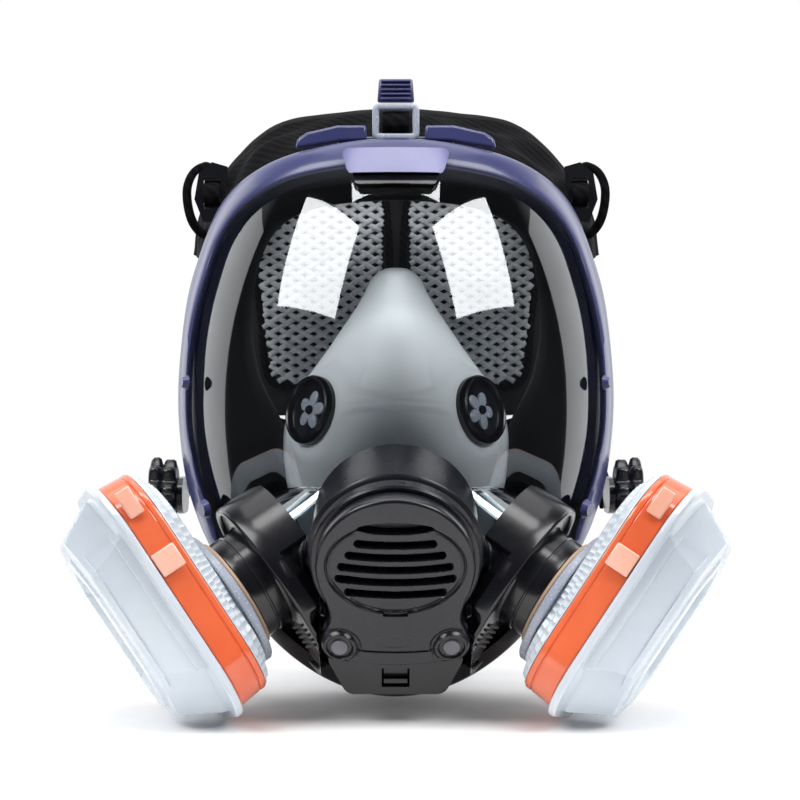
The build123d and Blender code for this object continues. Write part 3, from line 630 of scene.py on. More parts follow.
def open_valve_holes(cup):
    """Take the cup's faces away behind each valve, so that its flap can lift."""
    work = bmesh.new()
    work.from_mesh(cup.data)
    behind = []
    for face in work.faces:
        centre = np.array(face.calc_center_median()) / MM
        x, y, out = nose_valve_axes(1 if centre[0] > 0 else -1).local(centre)
        if math.hypot(x, y) < 13.4 and abs(out) < 22:
            behind.append(face)
    bmesh.ops.delete(work, geom=behind, context="FACES")
    work.to_mesh(cup.data)
    work.free()


def make_nose_cup():
    axes = housing_axes()
    rows = []
    for z in np.linspace(-82, 56, 170):
        width, ridge = cup_section(z)
        row = []
        for turn in np.linspace(-math.pi / 2, math.pi / 2, 141):
            x = width * math.copysign(abs(math.sin(turn)) ** 0.95, turn)
            y = ridge * abs(math.cos(turn)) ** 0.9
            side_x, up, _ = axes.local((x, y, z))
            from_port = math.hypot(side_x * 0.86, up)
            front = smoothstep(0.25, 0.6, math.cos(turn))
            step = 1.6 * (1 - smoothstep(38.5, 40, from_port)) - 0.9 * math.exp(
                -((from_port - 41) / 0.9) ** 2)
            moulding = smoothstep(43, 44.2, up) * (1 - smoothstep(51, 56, up))
            moulding *= 1 - smoothstep(0, 1.5, abs(side_x) - (16 - 0.45 * (up - 43)))
            depth = (step - 0.9 * moulding) * front
            away = unit((x, y * 0.8, 0.001))
            row.append(valve_seat(np.array((x, y, z)) + away * depth))
        rows.append(row)
    cup = skin("grey_nose_cup", rows, "facepiece", "grey_silicone", MATERIALS["silicone"],
               closed=False, replaces=("nose_cup",), sharp=0)
    open_valve_holes(cup)
    wall = cup.modifiers.new("wall", "SOLIDIFY")
    wall.thickness = 2.0 * MM
    wall.offset = -1


def make_nose_valves():
    """Round black seats with a dished spider of five petals round a pin."""
    rim = ((14.9, -3.5), (15.0, 1.0), (14.9, 2.6), (14.2, 3.7), (13.3, 4.0), (12.6, 3.7), (12.1, 3.0),
           (11.9, 1.4), (9.0, 0.6), (0.5, 0.3), (0.5, -0.1), (12.6, -0.1), (12.8, -3.5))
    petal = []
    for step in range(160):
        turn = 2 * math.pi * step / 160
        petal.append(3.2 + 5.2 * abs(math.cos(2.5 * turn)) ** 0.7)
    for label, side in SIDES.items():
        axes = nose_valve_axes(side)
        lathe("valve_rim_" + label, axes, rim, "facepiece", "black_plastic", MATERIALS["black"],
              replaces=("nose_valve_seat_" + label,))
        rows = []
        for scale, height in ((1.0, 0.1), (1.0, 0.8), (0.93, 1.2), (0.6, 1.4), (0.25, 1.4)):
            rows.append([axes.at(r * scale * math.cos(2 * math.pi * k / 160),
                                 r * scale * math.sin(2 * math.pi * k / 160), height)
                         for k, r in enumerate(petal)])
        skin("valve_petals_" + label, rows, "facepiece", "black_plastic", MATERIALS["frost"], ends="caps")
        lathe("valve_pin_" + label, axes, ((2.0, 1.2), (2.0, 2.2), (1.6, 2.8), (0.3, 3.0)), "facepiece",
              "black_plastic", MATERIALS["black"], count=40, ends="caps")


# ---------------------------------------------------------------- centre housing
def make_housing():
    """Tube from the lens to the cover with two raised bands, cut to the lens surface."""
    axes = housing_axes()
    steps = 160
    profile = ((31.2, 0.2), (33.3, 0.2), (34.0, 0.9), (34.0, 5.6), (33.2, 6.2), (33.2, 6.9), (34.4, 7.4),
               (35.3, 8.4), (35.3, 9.6), (34.8, 10.4), (34.0, 11.0), (34.0, 14.0))
    rows = []
    for radius, depth in profile:
        rows.append([axes.at(radius * math.cos(2 * math.pi * k / steps),
                             radius * math.sin(2 * math.pi * k / steps), -depth)
                     for k in range(steps)])
    for share in (0.3, 0.6, 1.0):
        ring = []
        for k in range(steps):
            turn = 2 * math.pi * k / steps
            x, y = 34.0 * math.cos(turn), 34.0 * math.sin(turn)
            end = max(reach_to_head(axes, x, y, 1.4, 40.0), 15.0)
            ring.append(axes.at(x, y, -(14.0 + (end - 14.0) * share)))
        rows.append(ring)
    inner = []
    for share in (1.0, 0.0):
        ring = []
        for k in range(steps):
            turn = 2 * math.pi * k / steps
            x, y = 31.2 * math.cos(turn), 31.2 * math.sin(turn)
            end = max(reach_to_head(axes, x, y, 1.4, 40.0), 15.0)
            ring.append(axes.at(x, y, -(0.2 + (end - 0.2) * share)))
        inner.append(ring)
    rows.extend(inner[:1])
    skin("centre_tube", rows, "facepiece", "black_plastic", MATERIALS["graphite"], ends="ring",
         replaces=("centre_adapter",))
    web = ((31.1, 20.0), (31.1, 22.5), (17.2, 22.5), (17.2, 47.5), (19.3, 47.5), (19.3, 24.0),
           (19.3, 20.0))
    lathe("centre_spigot", axes, [(r, -d) for r, d in web], "facepiece", "black_plastic",
          MATERIALS["black"])


def cover_outline(count=360):
    """Front cover outline: round above, waisted below the grille, with two bosses."""
    half = [(0, 31.8), (16, 27.6), (27.4, 16.2), (31.6, 2), (30.6, -8), (27.6, -16), (26.4, -23),
            (28.2, -29), (30.2, -35), (29.0, -41), (24, -43.6), (12, -45.0), (0, -45.2)]
    return resampled(full_loop(half, 10), count)


def slot_distance(x, up, centre_up, half_length, bow):
    """Distance from the middle line of a gently bowed slot."""
    line_up = centre_up + bow * (x / 25.0) ** 2
    over = np.maximum(np.abs(x) - half_length, 0)
    return np.hypot(over, up - line_up)


def cover_height(x, up):
    """Height of the cover's face above its plane."""
    height = 8.8 - (x ** 2 + (up * 0.8) ** 2) / 330.0
    grille = np.hypot(x / 27.0, (up - 1.5) / 19.6)
    height = height - 1.1 * (1 - smoothstep(0.955, 1.0, grille))
    height = height - 1.0 * np.exp(-((grille - 1.02) / 0.022) ** 2)
    for centre_up, half_length in ((11.8, 14.6), (6.3, 18.2), (0.8, 21.2), (-4.7, 22.4), (-10.4, 18.6)):
        gap = slot_distance(x, up, centre_up, half_length, 1.1)
        height = height - 5.0 * (1 - smoothstep(1.25, 1.75, gap))
    top = np.hypot(x / 15.5, (up - 19.0) / 2.7)
    height = height - 5.0 * (1 - smoothstep(0.85, 1.0, top)) * smoothstep(16.3, 16.8, up)
    for side in (-1, 1):
        ring = np.hypot(x - side * PIN_X, up - PIN_UP)
        height = height + 1.3 * (1 - smoothstep(6.3, 7.4, ring)) - 1.4 * (1 - smoothstep(5.0, 5.6, ring))
        height = height - 0.8 * np.exp(-((ring - 8.1) / 0.7) ** 2)
    emblem = np.hypot(x / 8.4, (up + 32.6) / 3.1)
    height = height - 0.35 * (1 - smoothstep(0.9, 1.02, emblem))
    crease = np.exp(-((up + 38.0 - 0.0022 * x ** 2) / 0.35) ** 2) * (1 - smoothstep(14, 15, abs(x)))
    height = height - 0.7 * crease
    notch = (1 - smoothstep(4.6, 5.0, abs(x))) * (1 - smoothstep(0.6, 0.9, abs(up + 19.3)))
    return height - 1.5 * notch


def make_cover():
    axes = housing_axes()
    outline = cover_outline()
    rows = []
    rings = 150
    for ring in range(1, rings + 1):
        share = ring / rings
        line = outline * (share * np.array((1, 1))) + np.array((0, -4.0)) * (1 - share)
        heights = cover_height(line[:, 0], line[:, 1])
        fall = 1.8 * (1 - math.sqrt(max(0.0, 1 - max(0.0, (share - 0.955) / 0.045) ** 2)))
        rows.append([axes.at(x, up, h - fall) for (x, up), h in zip(line, heights)])
    for depth in (2.5, 0.4, 0.35):
        rows.append([axes.at(x, up, depth) for x, up in outline])
    inner = outline * 0.93
    rows.append([axes.at(x, up, 0.35) for x, up in inner])
    rows = [[axes.at(0, -4.0, float(cover_height(np.array(0.0), np.array(-4.0))))] * len(outline)] + rows
    skin("slotted_cover", rows, "facepiece", "black_plastic", MATERIALS["graphite"], ends="",
         replaces=("exhalation_cover",), sharp=45)
    for side in (-1, 1):
        pin = Axes(axes.at(side * PIN_X, PIN_UP), axes.x, axes.out)
        top = float(cover_height(np.array(side * PIN_X), np.array(PIN_UP)))
        lathe("cover_pin_" + ("left" if side < 0 else "right"), pin,
              ((3.5, 0.5), (3.5, top + 0.7), (3.2, top + 1.1), (2.2, top + 1.2), (0.5, top + 1.2)), "facepiece",
              "black_plastic", MATERIALS["pin_grey"], count=48, ends="caps", replaces=("cover_pins",))


# ---------------------------------------------------------------- cartridges
def trapezoid_loop(margin, count=280, radius=None):
    """Rounded trapezoid of the cartridge in port axes: along the flange, then across."""
    end = CARTRIDGE_LENGTH / 2 - margin
    wide = CARTRIDGE_WIDTH / 2 - margin
    narrow = wide - 6
    radius = radius if radius is not None else 24 - margin / 2
    corners = [np.array(c) for c in ((-end, -wide), (end, -narrow), (end, narrow), (-end, wide))]
    line = []
    for index, corner in enumerate(corners):
        before = unit(corners[index - 1] - corner)
        after = unit(corners[(index + 1) % 4] - corner)
        half = math.acos(np.clip(before @ after, -1, 1)) / 2
        cut = radius / math.tan(half)
        start, finish = corner + before * cut, corner + after * cut
        centre = corner + unit(before + after) * radius / math.sin(half)
        a, b = start - centre, finish - centre
        sweep = math.acos(np.clip(unit(a) @ unit(b), -1, 1))
        for step in range(13):
            t = step / 12
            line.append(centre + (a * math.sin((1 - t) * sweep) + b * math.sin(t * sweep))
                        / math.sin(sweep))
    loop = resampled(np.array(line), count)
    return loop + np.array((CARTRIDGE_SHIFT, 0))


RAYS = np.linspace(0, 2 * math.pi, 360, endpoint=False)
CHAMFER = 23.0


def by_angle(loop):
    """Radius of a loop round the cartridge's centre, at each of RAYS."""
    away = loop - np.array((CARTRIDGE_SHIFT, 0))
    turn = np.arctan2(away[:, 1], away[:, 0]) % (2 * math.pi)
    order = np.argsort(turn)
    return np.interp(RAYS, turn[order], np.hypot(away[:, 0], away[:, 1])[order], period=2 * math.pi)


def rounded_ring(margin):
    return by_angle(trapezoid_loop(margin))


def faceted_ring(margin):
    """Radius of the eight-sided section of the retainer's crown."""
    end, wide = CARTRIDGE_LENGTH / 2 - margin, CARTRIDGE_WIDTH / 2 - margin
    tilt = math.atan2(6, CARTRIDGE_LENGTH)
    sides = [(0, end), (math.pi, end), (math.pi / 2 - tilt, wide - 3), (-math.pi / 2 + tilt, wide - 3)]
    reach = (end + wide - CHAMFER + margin * 0.3) / math.sqrt(2)
    sides += [(turn * math.pi / 4, reach - (2.5 if turn in (1, 7) else 0)) for turn in (1, 3, 5, 7)]
    radius = np.full(len(RAYS), 500.0)
    for turn, distance in sides:
        along = np.cos(RAYS - turn)
        radius = np.where(along > 0.05, np.minimum(radius, distance / np.maximum(along, 0.05)), radius)
    return radius


def ring_points(axes, radius, height):
    x = CARTRIDGE_SHIFT + radius * np.cos(RAYS)
    y = radius * np.sin(RAYS)
    return [axes.at(a, b, h) for a, b, h in zip(x, y, np.broadcast_to(height, len(RAYS)))]


def cartridge_skin(name, side, profile, body, slot, material, replaces=(), teeth=()):
    """Cartridge-shaped ring from (margin, height) points, with teeth cut into the rows named."""
    axes = port_axes(side, CARTRIDGE_START)
    rows = []
    for index, (margin, height) in enumerate(profile):
        radius = rounded_ring(margin)
        if index in teeth:
            radius = radius - 1.0 * (0.5 + 0.5 * np.sin(RAYS * 72)) ** 0.5
        rows.append(ring_points(axes, radius, height))
    return skin(name, rows, body, slot, material, True, "ring", replaces, sharp=40)


BODY_PROFILE = ((20, 5.3), (13, 5.3), (11.4, 5.8), (10.6, 8.0), (10.0, 8.5), (7.4, 8.6), (6.4, 8.9),
                (6.0, 9.4), (5.2, 11.0), (4.4, 11.3), (4.2, 11.9), (8.0, 12.0), (14, 7.6))
BODY_TEETH = (2, 3, 6, 7, 8)
BAND_PROFILE = ((4.4, 12.1), (3.7, 12.3), (3.4, 12.9), (3.5, 14.6), (4.0, 14.9), (3.9, 15.4), (3.4, 15.7),
                (2.7, 24.9), (3.1, 25.4), (5.5, 25.45), (7.2, 24), (7.2, 13))
LIP_PROFILE = ((7.0, 25.9), (0.8, 25.9), (0.15, 26.4), (0.0, 27.2), (0.15, 28.4), (0.8, 29.3), (3.0, 29.5),
               (4.0, 29.8))
CROWN_PROFILE = ((4.5, 31.0), (5.0, 32.4), (12.6, 46.0), (13.2, 46.9), (14.2, 47.4))
PANEL_TOP = 47.9


def panel_rings():
    """Rings of the retainer's top, inwards: a raised eight-sided frame round a long sunk window."""
    along, across = np.abs(np.cos(RAYS)), np.abs(np.sin(RAYS))
    frame = 1 / np.maximum(along / 36.0, np.maximum(across / 20.5, along / 52.0 + across / 30.0))
    window = 1 / np.maximum(across / 11.0, along / 31.0 + across / 34.0)
    return ((frame, PANEL_TOP), (frame * 0.955, PANEL_TOP + 0.9), (window, PANEL_TOP + 0.9),
            (window * 0.88, PANEL_TOP - 1.7), (window * 0.5, PANEL_TOP - 1.9), (window * 0.01, PANEL_TOP - 1.9))


def sunk_sides(radius, height):
    """Long shallow recesses in the two long slopes of the crown."""
    x = radius * np.cos(RAYS)
    slope = (1 - smoothstep(30, 32, np.abs(x + 2))) * float(33.6 < height < 44.8)
    return radius - 1.5 * slope * np.abs(np.sin(RAYS)) ** 2


def make_retainer(label, side):
    axes = port_axes(side, CARTRIDGE_START)
    rows = [ring_points(axes, rounded_ring(margin), height) for margin, height in LIP_PROFILE]
    heights = [h for _, h in CROWN_PROFILE]
    margins = [m for m, _ in CROWN_PROFILE]
    for height in (31.0, 32.4, 33.5, 33.8, 36, 39, 42, 44.6, 45.0, 46.0, 46.9, 47.4):
        radius = faceted_ring(np.interp(height, heights, margins))
        rows.append(ring_points(axes, sunk_sides(radius, height), height))
    rows.extend(ring_points(axes, radius, height) for radius, height in panel_rings())
    skin("retainer_cover_" + label, rows, "retainer_" + label, "white_plastic", MATERIALS["milk"],
         ends="", replaces=("retainer_" + label,), sharp=14)


def make_clip(name, side, low, high, start, finish, across, body):
    """Rounded plate on the front long side of the cartridge, between two heights."""
    axes = port_axes(side, CARTRIDGE_START)
    front = -1 if axes.y[1] > 0 else 1
    edge = front * (CARTRIDGE_WIDTH / 2 - 3 + across)
    corners = [axes.at(x, edge, h) for x, h in ((start, low), (finish, low), (finish, high), (start, high))]
    return block(name, corners, -axes.y * front * 2.2, body, "orange_plastic", MATERIALS["peach"], edge=0.7)


def make_cartridge(label, side):
    body = "cartridge_" + label
    cartridge_skin("filter_body_" + label, side, BODY_PROFILE, body, "white_plastic", MATERIALS["milk"],
                   ("cartridge_body_" + label,), BODY_TEETH)
    cartridge_skin("orange_band_" + label, side, BAND_PROFILE, body, "orange_plastic",
                   MATERIALS["orange"], ("cartridge_band_" + label,))
    axes = port_axes(side, CARTRIDGE_START)
    hub = ((19.6, 0.2), (25.4, 0.2), (26.0, 0.8), (26.0, 5.3), (19.6, 5.3))
    lathe("filter_hub_" + label, axes, hub, body, "white_plastic", MATERIALS["frost"],
          replaces=("cartridge_body_" + label,))
    ring = ((26.2, 1.3), (29.4, 1.3), (30.0, 1.9), (30.0, 4.0), (29.4, 4.6), (26.2, 4.6))
    lathe("filter_ring_" + label, axes, ring, body, "clear_grey_plastic", MATERIALS["frost"],
          replaces=("cartridge_ring_" + label,))
    make_clip("band_clip_top_" + label, side, 17.0, 23.5, -60, -48, 0.6, body)
    make_clip("band_clip_mid_" + label, side, 14.8, 25.2, -32, -22, 0.5, body)
    make_retainer(label, side)


# ---------------------------------------------------------------- side ports
def is_clear(point):
    """Whether a flange point is outside the centre housing and the foot under it."""
    x, up, depth = housing_axes().local(point)
    in_tube = math.hypot(x, up) < HOUSING_R + 2.0 and depth > -40
    return not in_tube and not (up < -20 and abs(x) < 31.2)


def keep_clear(point, middle):
    """Draw a flange point towards the flange's middle until it is clear."""
    for share in np.linspace(0, 1, 80):
        moved = point + (middle - point) * share
        if is_clear(moved):
            return moved
    return middle


def flange_loop(grow, collar_share=0.0, count=200):
    """Oval of the flange, drawn towards the collar's circle by collar_share."""
    loop = []
    for step in range(count):
        turn = 2 * math.pi * step / count
        oval = np.array((FLANGE_SHIFT + (43 + grow) * math.cos(turn), (30 + grow) * math.sin(turn)))
        collar = np.array(((COLLAR_R + 0.3) * math.cos(turn), (COLLAR_R + 0.3) * math.sin(turn)))
        loop.append(oval * (1 - collar_share) + collar * collar_share)
    return loop


FLANGE_RIM = ((0.0, 0, 1.0), (0.0, 0, 6.6), (-0.3, 0, 7.4), (-0.9, 0, 7.9), (-2.6, 0, 7.9), (-3.2, 0, 7.5),
              (-3.5, 0, 6.8), (-3.6, 0, 6.2), (-4.2, 0, 6.0), (-4.2, 0.5, 6.0), (-4.2, 0.9, 6.2),
              (-4.2, 0.97, 6.9), (-4.2, 1, 7.8))


def make_flange(label, side):
    """Raised oval plate that carries the collar, running down to the lens behind."""
    axes = port_axes(side)
    skirt = []
    for x, y in flange_loop(0.0):
        skirt.append((x, y, -reach_to_head(axes, x, y, 5.4, 12.0)))
    rows = [[(x * 0.9 + FLANGE_SHIFT * 0.1, y * 0.9, 0.5) for x, y in flange_loop(0.0)], skirt]
    for grow, share, height in FLANGE_RIM:
        rows.append([(x, y, height) for x, y in flange_loop(grow, share)])
    rows = [[keep_clear(axes.at(x, y, h), axes.at(5.0, 0, h)) for x, y, h in row] for row in rows]
    skin("port_plate_" + label, rows, "facepiece", "black_plastic", MATERIALS["black"], ends="",
         replaces=("port_flange_" + label,), sharp=50)
    for rib in range(10):
        place = 25.5 + rib * 2.4
        corners = [axes.at(place + a, b, 5.4) for a, b in ((0, -10), (1.2, -10), (1.2, 10), (0, 10))]
        if all(is_clear(corner) for corner in corners):
            block(f"port_rib_{rib}_{label}", corners, axes.out * 1.6, "facepiece", "black_plastic",
                  MATERIALS["rubber"], edge=0.5)


def make_collar(label, side):
    axes = port_axes(side)
    profile = ((19.6, 3.0), (19.6, 19.2), (20.2, 19.8), (21.6, 19.8), (22.3, 19.2), (22.5, 18.0), (22.5, 14.4),
               (22.1, 14.0), (22.1, 13.4), (22.5, 13.0), (22.5, 4.0), (20.5, 3.0))
    lathe("port_neck_" + label, axes, profile, "facepiece", "black_plastic", MATERIALS["black"],
          replaces=("port_collar_" + label,))


# ---------------------------------------------------------------- harness
def swollen(piece, voxel=4.0, cap=3.0, last_frame=20):
    """Cloth-simulate a closed pad under a little pressure, with no point moved over cap."""
    remesh = piece.modifiers.new("even", "REMESH")
    remesh.mode = "VOXEL"
    remesh.voxel_size = voxel * MM
    apply_modifiers(piece)
    before = [v.co.copy() for v in piece.data.vertices]
    cloth = piece.modifiers.new("cloth", "CLOTH")
    cloth.settings.use_pressure = True
    cloth.settings.uniform_pressure_force = 4
    cloth.settings.effector_weights.gravity = 0
    cloth.settings.quality = 6
    cloth.point_cache.frame_end = last_frame
    for step in range(1, last_frame + 1):
        bpy.context.scene.frame_set(step)
    apply_modifiers(piece)
    bpy.context.scene.frame_set(1)
    for vertex, start in zip(piece.data.vertices, before):
        moved = vertex.co - start
        if moved.length > cap * MM:
            vertex.co = start + moved * (cap * MM / moved.length)
    for polygon in piece.data.polygons:
        polygon.use_smooth = True
    smooth = piece.modifiers.new("smooth", "SUBSURF")
    smooth.levels = 1
    smooth.render_levels = 1


def apply_modifiers(piece):
    depsgraph = bpy.context.evaluated_depsgraph_get()
    mesh = bpy.data.meshes.new_from_object(piece.evaluated_get(depsgraph))
    piece.modifiers.clear()
    old = piece.data
    materials = [m for m in old.materials]
    piece.data = mesh
    if not mesh.materials:
        for material in materials:
            mesh.materials.append(material)


PAD_HALF = [(0, 118), (50, 109), (73, 87), (78, 40), (73, 2), (53, -15), (0, -18)]
PAD_FRONT_Y, PAD_BACK_Y = 41.6, 45.4


def make_head_pad():
    """Soft pad at the back of the head, swollen by simulation, with a bound edge."""
    loop = resampled(full_loop(PAD_HALF, 10), 160)
    middle = np.array((0.0, 50.0))
    rows = []
    for share in (0.02, 0.15, 0.3, 0.45, 0.6, 0.75, 0.88, 0.96, 1.0):
        rows.append([(x, PAD_FRONT_Y, z) for x, z in middle + (loop - middle) * share])
    for share in (1.0, 0.96, 0.88, 0.75, 0.6, 0.45, 0.3, 0.15, 0.02):
        rows.append([(x, PAD_BACK_Y, z) for x, z in middle + (loop - middle) * share])
    pad = skin("head_cushion", rows, "facepiece", "black_webbing", MATERIALS["cloth"], ends="caps",
               replaces=("head_pad",), sharp=0)
    swollen(pad)
    edge = [(x, 43.5, z) for x, z in loop]
    tube("head_pad_binding", edge, 2.6, 2.2, "facepiece", "black_webbing", MATERIALS["web"], closed=True)
    strap("pad_back_web", [(0, 47.6, 116), (0, 48.8, 95), (0, 49.2, 60), (0, 48.8, 20), (0, 47.6, -13)],
          24, 1.8, "facepiece", (1, 0, 0))
    seam = [(x, 47.4, z) for x, z in middle + (loop - middle) * 0.82]
    tube("head_pad_seam", seam, 0.9, 0.9, "facepiece", "black_webbing", MATERIALS["web"], closed=True)


def make_yoke():
    """Cloth that joins the top of the head pad to the rear edge of the crown band."""
    low = smooth_line(mirrored([(0, 117), (28, 115), (50, 108.5), (66, 96), (75, 78), (77.5, 58)]), 14)
    high = smooth_line(mirrored(BAND_REAR), 14)
    rows = []
    for index, (below, above) in enumerate(zip(low, high)):
        row = []
        for step in range(13):
            share = step / 12
            x, z = below + (above - below) * share
            sag = 1.0 * math.sin(math.pi * share) * math.sin(index * 0.9)
            row.append((x, 45.4 + 3.2 * share + sag * 0.5, z))
        rows.append(row)
    yoke = skin("harness_yoke", rows, "facepiece", "black_webbing", MATERIALS["cloth"], closed=False, sharp=0)
    cloth = yoke.modifiers.new("thickness", "SOLIDIFY")
    cloth.thickness = 1.6 * MM
    cloth.offset = 0


def frames_along(path, closed, up_way):
    """Tangent and two cross directions at each point of a path."""
    path = np.array(path, dtype=float)
    if closed:
        along = np.roll(path, -1, axis=0) - np.roll(path, 1, axis=0)
    else:
        along = np.gradient(path, axis=0)
    along /= np.linalg.norm(along, axis=1)[:, None]
    wide = np.broadcast_to(np.array(up_way, dtype=float), path.shape)
    wide = wide - along * np.sum(wide * along, axis=1)[:, None]
    wide /= np.linalg.norm(wide, axis=1)[:, None]
    return path, along, wide, np.cross(along, wide)


def tube(name, path, half_wide, half_thick, body, slot, material, closed=False, up_way=(0, 1, 0),
         sides=12, power=1.0, replaces=()):
    """Cord, binding or strap swept along a path; a low power squares its section."""
    path, _, wide, thick = frames_along(path, closed, up_way)
    rows = []
    for point, w, t in zip(path, wide, thick):
        ring = []
        for step in range(sides):
            turn = 2 * math.pi * step / sides
            c, d = math.cos(turn), math.sin(turn)
            a = math.copysign(abs(c) ** power, c) * half_wide
            b = math.copysign(abs(d) ** power, d) * half_thick
            ring.append(point + w * a + t * b)
        rows.append(ring)
    return skin(name, rows, body, slot, material, True, "ring" if closed else "caps", replaces, sharp=0)


def strap(name, path, wide, thick, body, up_way, replaces=(), material="web"):
    line = smooth_line(path, 10)
    return tube(name, line, wide / 2, thick / 2, body, "black_webbing", MATERIALS[material],
                up_way=up_way, sides=28, power=0.35, replaces=replaces)


PANEL_HALF = [(6, 95), (30, 93.5), (50, 89), (60, 76), (66, 61), (64, 34), (59, 5), (32, 3.5), (6, 4)]


def inside(point, outline):
    """Whether a front-view point lies in a closed outline."""
    x, z = point
    crossings = 0
    for (x1, z1), (x2, z2) in zip(outline, np.roll(outline, -1, axis=0)):
        if (z1 > z) != (z2 > z) and x < x1 + (z - z1) * (x2 - x1) / (z2 - z1):
            crossings += 1
    return crossings % 2 == 1


def strand_runs(outline, slope, pitch, step=1.4):
    """Straight runs of one family of mesh strands, cut to the panel's outline."""
    way = np.array((math.cos(slope), math.sin(slope)))
    across = np.array((-way[1], way[0]))
    middle = np.array((35.0, 48.0))
    for lane in range(-20, 21):
        run = []
        for place in np.arange(-75, 75, step):
            point = middle + across * lane * pitch + way * place
            if inside(point, outline):
                run.append((point, place))
            elif len(run) > 4:
                yield lane, run
                run = []
            else:
                run = []


def make_mesh_panel(label, side):
    """Open mesh: two families of flat strands woven over and under each other."""
    outline = np.array(PANEL_HALF, dtype=float)
    pitch = 4.3
    points, faces = [], []
    for family, slope in enumerate((math.radians(31), math.radians(149))):
        for lane, run in strand_runs(outline, slope, pitch):
            start = len(points)
            for (x, z), place in run:
                wave = math.sin(place / pitch * math.pi * 1.13 + math.pi * (lane + family))
                y = 38.7 - 0.55 * wave * (1 if family else -1)
                across = np.array((-math.sin(slope), math.cos(slope))) * 1.25
                for a, b in ((-1, 0), (-0.55, -0.45), (0.55, -0.45), (1, 0), (0.55, 0.45), (-0.55, 0.45)):
                    points.append((side * (x + across[0] * a), y + b, z + across[1] * a))
            for step in range(len(run) - 1):
                for k in range(6):
                    a, b = start + step * 6 + k, start + step * 6 + (k + 1) % 6
                    faces.append((a, b, b + 6, a + 6))
            end = start + (len(run) - 1) * 6
            faces.append(tuple(range(start, start + 6)))
            faces.append(tuple(range(end + 5, end - 1, -1)))
    panel = make_piece("mesh_strands_" + label, points, faces, "facepiece", "grey_mesh", MATERIALS["mesh"],
                       replaces=("mesh_panels",), sharp=0)
    edge = [(side * x, 38.9, z) for x, z in resampled(smooth_line(outline, 8, closed=True), 120)]
    tube("mesh_binding_" + label, edge, 1.0, 1.7, "facepiece", "black_webbing", MATERIALS["web"], closed=True)


BAND_REAR = [(0, 136), (28, 134), (56, 129), (76, 113), (93, 88), (97, 66)]
BAND_FRONT = [(0, 115), (28, 113.5), (54, 107), (73, 94), (86, 77), (90, 60)]
BAND_REAR_Y, BAND_FRONT_Y = 49.0, 15.0


def make_crown_band():
    """Wide ribbed elastic that slopes from the head pad down to the frame, in loose folds."""
    rear = smooth_line(mirrored(BAND_REAR), 14)
    front = smooth_line(mirrored(BAND_FRONT), 14)
    across = 26
    rows = []
    for index, (back, fore) in enumerate(zip(rear, front)):
        along = index / (len(rear) - 1)
        top, bottom = [], []
        for step in range(across + 1):
            share = step / across
            x, z = fore + (back - fore) * share
            y = BAND_FRONT_Y + (BAND_REAR_Y - BAND_FRONT_Y) * share
            fold = math.sin(share * 6.5 + along * 19.0) + 0.6 * math.sin(share * 11 - along * 34.0)
            spread = math.sin(math.pi * share) * math.sin(math.pi * along) ** 0.3
            out = unit((x, 0.0, z - 20.0))
            lift = 1.0 + 2.1 * fold * spread - 1.4 * (1 - spread)
            bulk = 1.1 * math.sqrt(max(0.02, 1 - (2 * share - 1) ** 8))
            top.append(np.array((x, y, z)) + out * (lift - 1.5 + bulk))
            bottom.append(np.array((x, y, z)) + out * (lift - 1.5 - bulk))
        rows.append(top + bottom[::-1])
    band = skin("crown_elastic", rows, "facepiece", "black_webbing", MATERIALS["ribbed"], ends="caps",
                replaces=("crown_band",), sharp=0)


TOP_BUCKLE_Y = -52.0
EAR = [(12.5, 107.6), (24, 107.2), (43, 104.2), (42, 108.5), (38, 111), (25, 114), (12.5, 114)]


def make_top_buckle():
    """Two ears on the frame, the clear-grey ring between them and its ribbed thumb tab."""
    blue = ("facepiece", "blue_plastic", MATERIALS["blue"])
    for label, side in SIDES.items():
        ear = [(side * x, TOP_BUCKLE_Y - 3, z) for x, z in EAR]
        block("buckle_ear_" + label, ear, (0, 4, 0), *blue, replaces=("top_buckle_base",), edge=1.2)
        foot = [(side * x, TOP_BUCKLE_Y - 2, z) for x, z in ((14, 106), (20, 106), (20, 110), (14, 110))]
        block("buckle_foot_" + label, foot, (0, 8, 0), *blue, edge=0.8)
    bar = [(x, TOP_BUCKLE_Y + 3, z) for x, z in ((-25, 105), (25, 105), (25, 110), (-25, 110))]
    block("buckle_bar", bar, (0, 3, 0), *blue, edge=1.0)

    ring = []
    for x, z, first in ((7.1, 4.9, 0.0), (-7.1, 4.9, 0.5), (-7.1, -4.9, 1.0), (7.1, -4.9, 1.5)):
        for turn in np.linspace(first, first + 0.5, 7) * math.pi:
            ring.append((x + 1.5 * math.cos(turn), TOP_BUCKLE_Y - 1, 115.6 + z + 1.5 * math.sin(turn)))
    tube("buckle_ring", ring, 2.2, 1.5, "top_buckle", "clear_grey_plastic", MATERIALS["frost"],
         closed=True, sides=20, power=0.7, replaces=("top_buckle_ring",))

    tab = [(x, TOP_BUCKLE_Y - 2.5, z) for x, z in ((-8, 123.9), (8, 123.9), (7.2, 134), (-7.2, 134))]
    block("buckle_tab", tab, (0, 3, 0), "top_buckle", "blue_plastic", MATERIALS["blue"],
          ("top_buckle_tab",), edge=1.1)
    for rib in range(5):
        low = 124.9 + rib * 1.9
        line = [(x, TOP_BUCKLE_Y - 3.5, z) for x, z in ((-6.4, low), (6.4, low), (6.4, low + 0.9), (-6.4, low + 0.9))]
        block(f"buckle_tab_rib_{rib}", line, (0, 1.4, 0), "top_buckle", "blue_plastic", MATERIALS["blue"],
              edge=0.35)


KNOB_PLACE = (-22.0, -43.0)


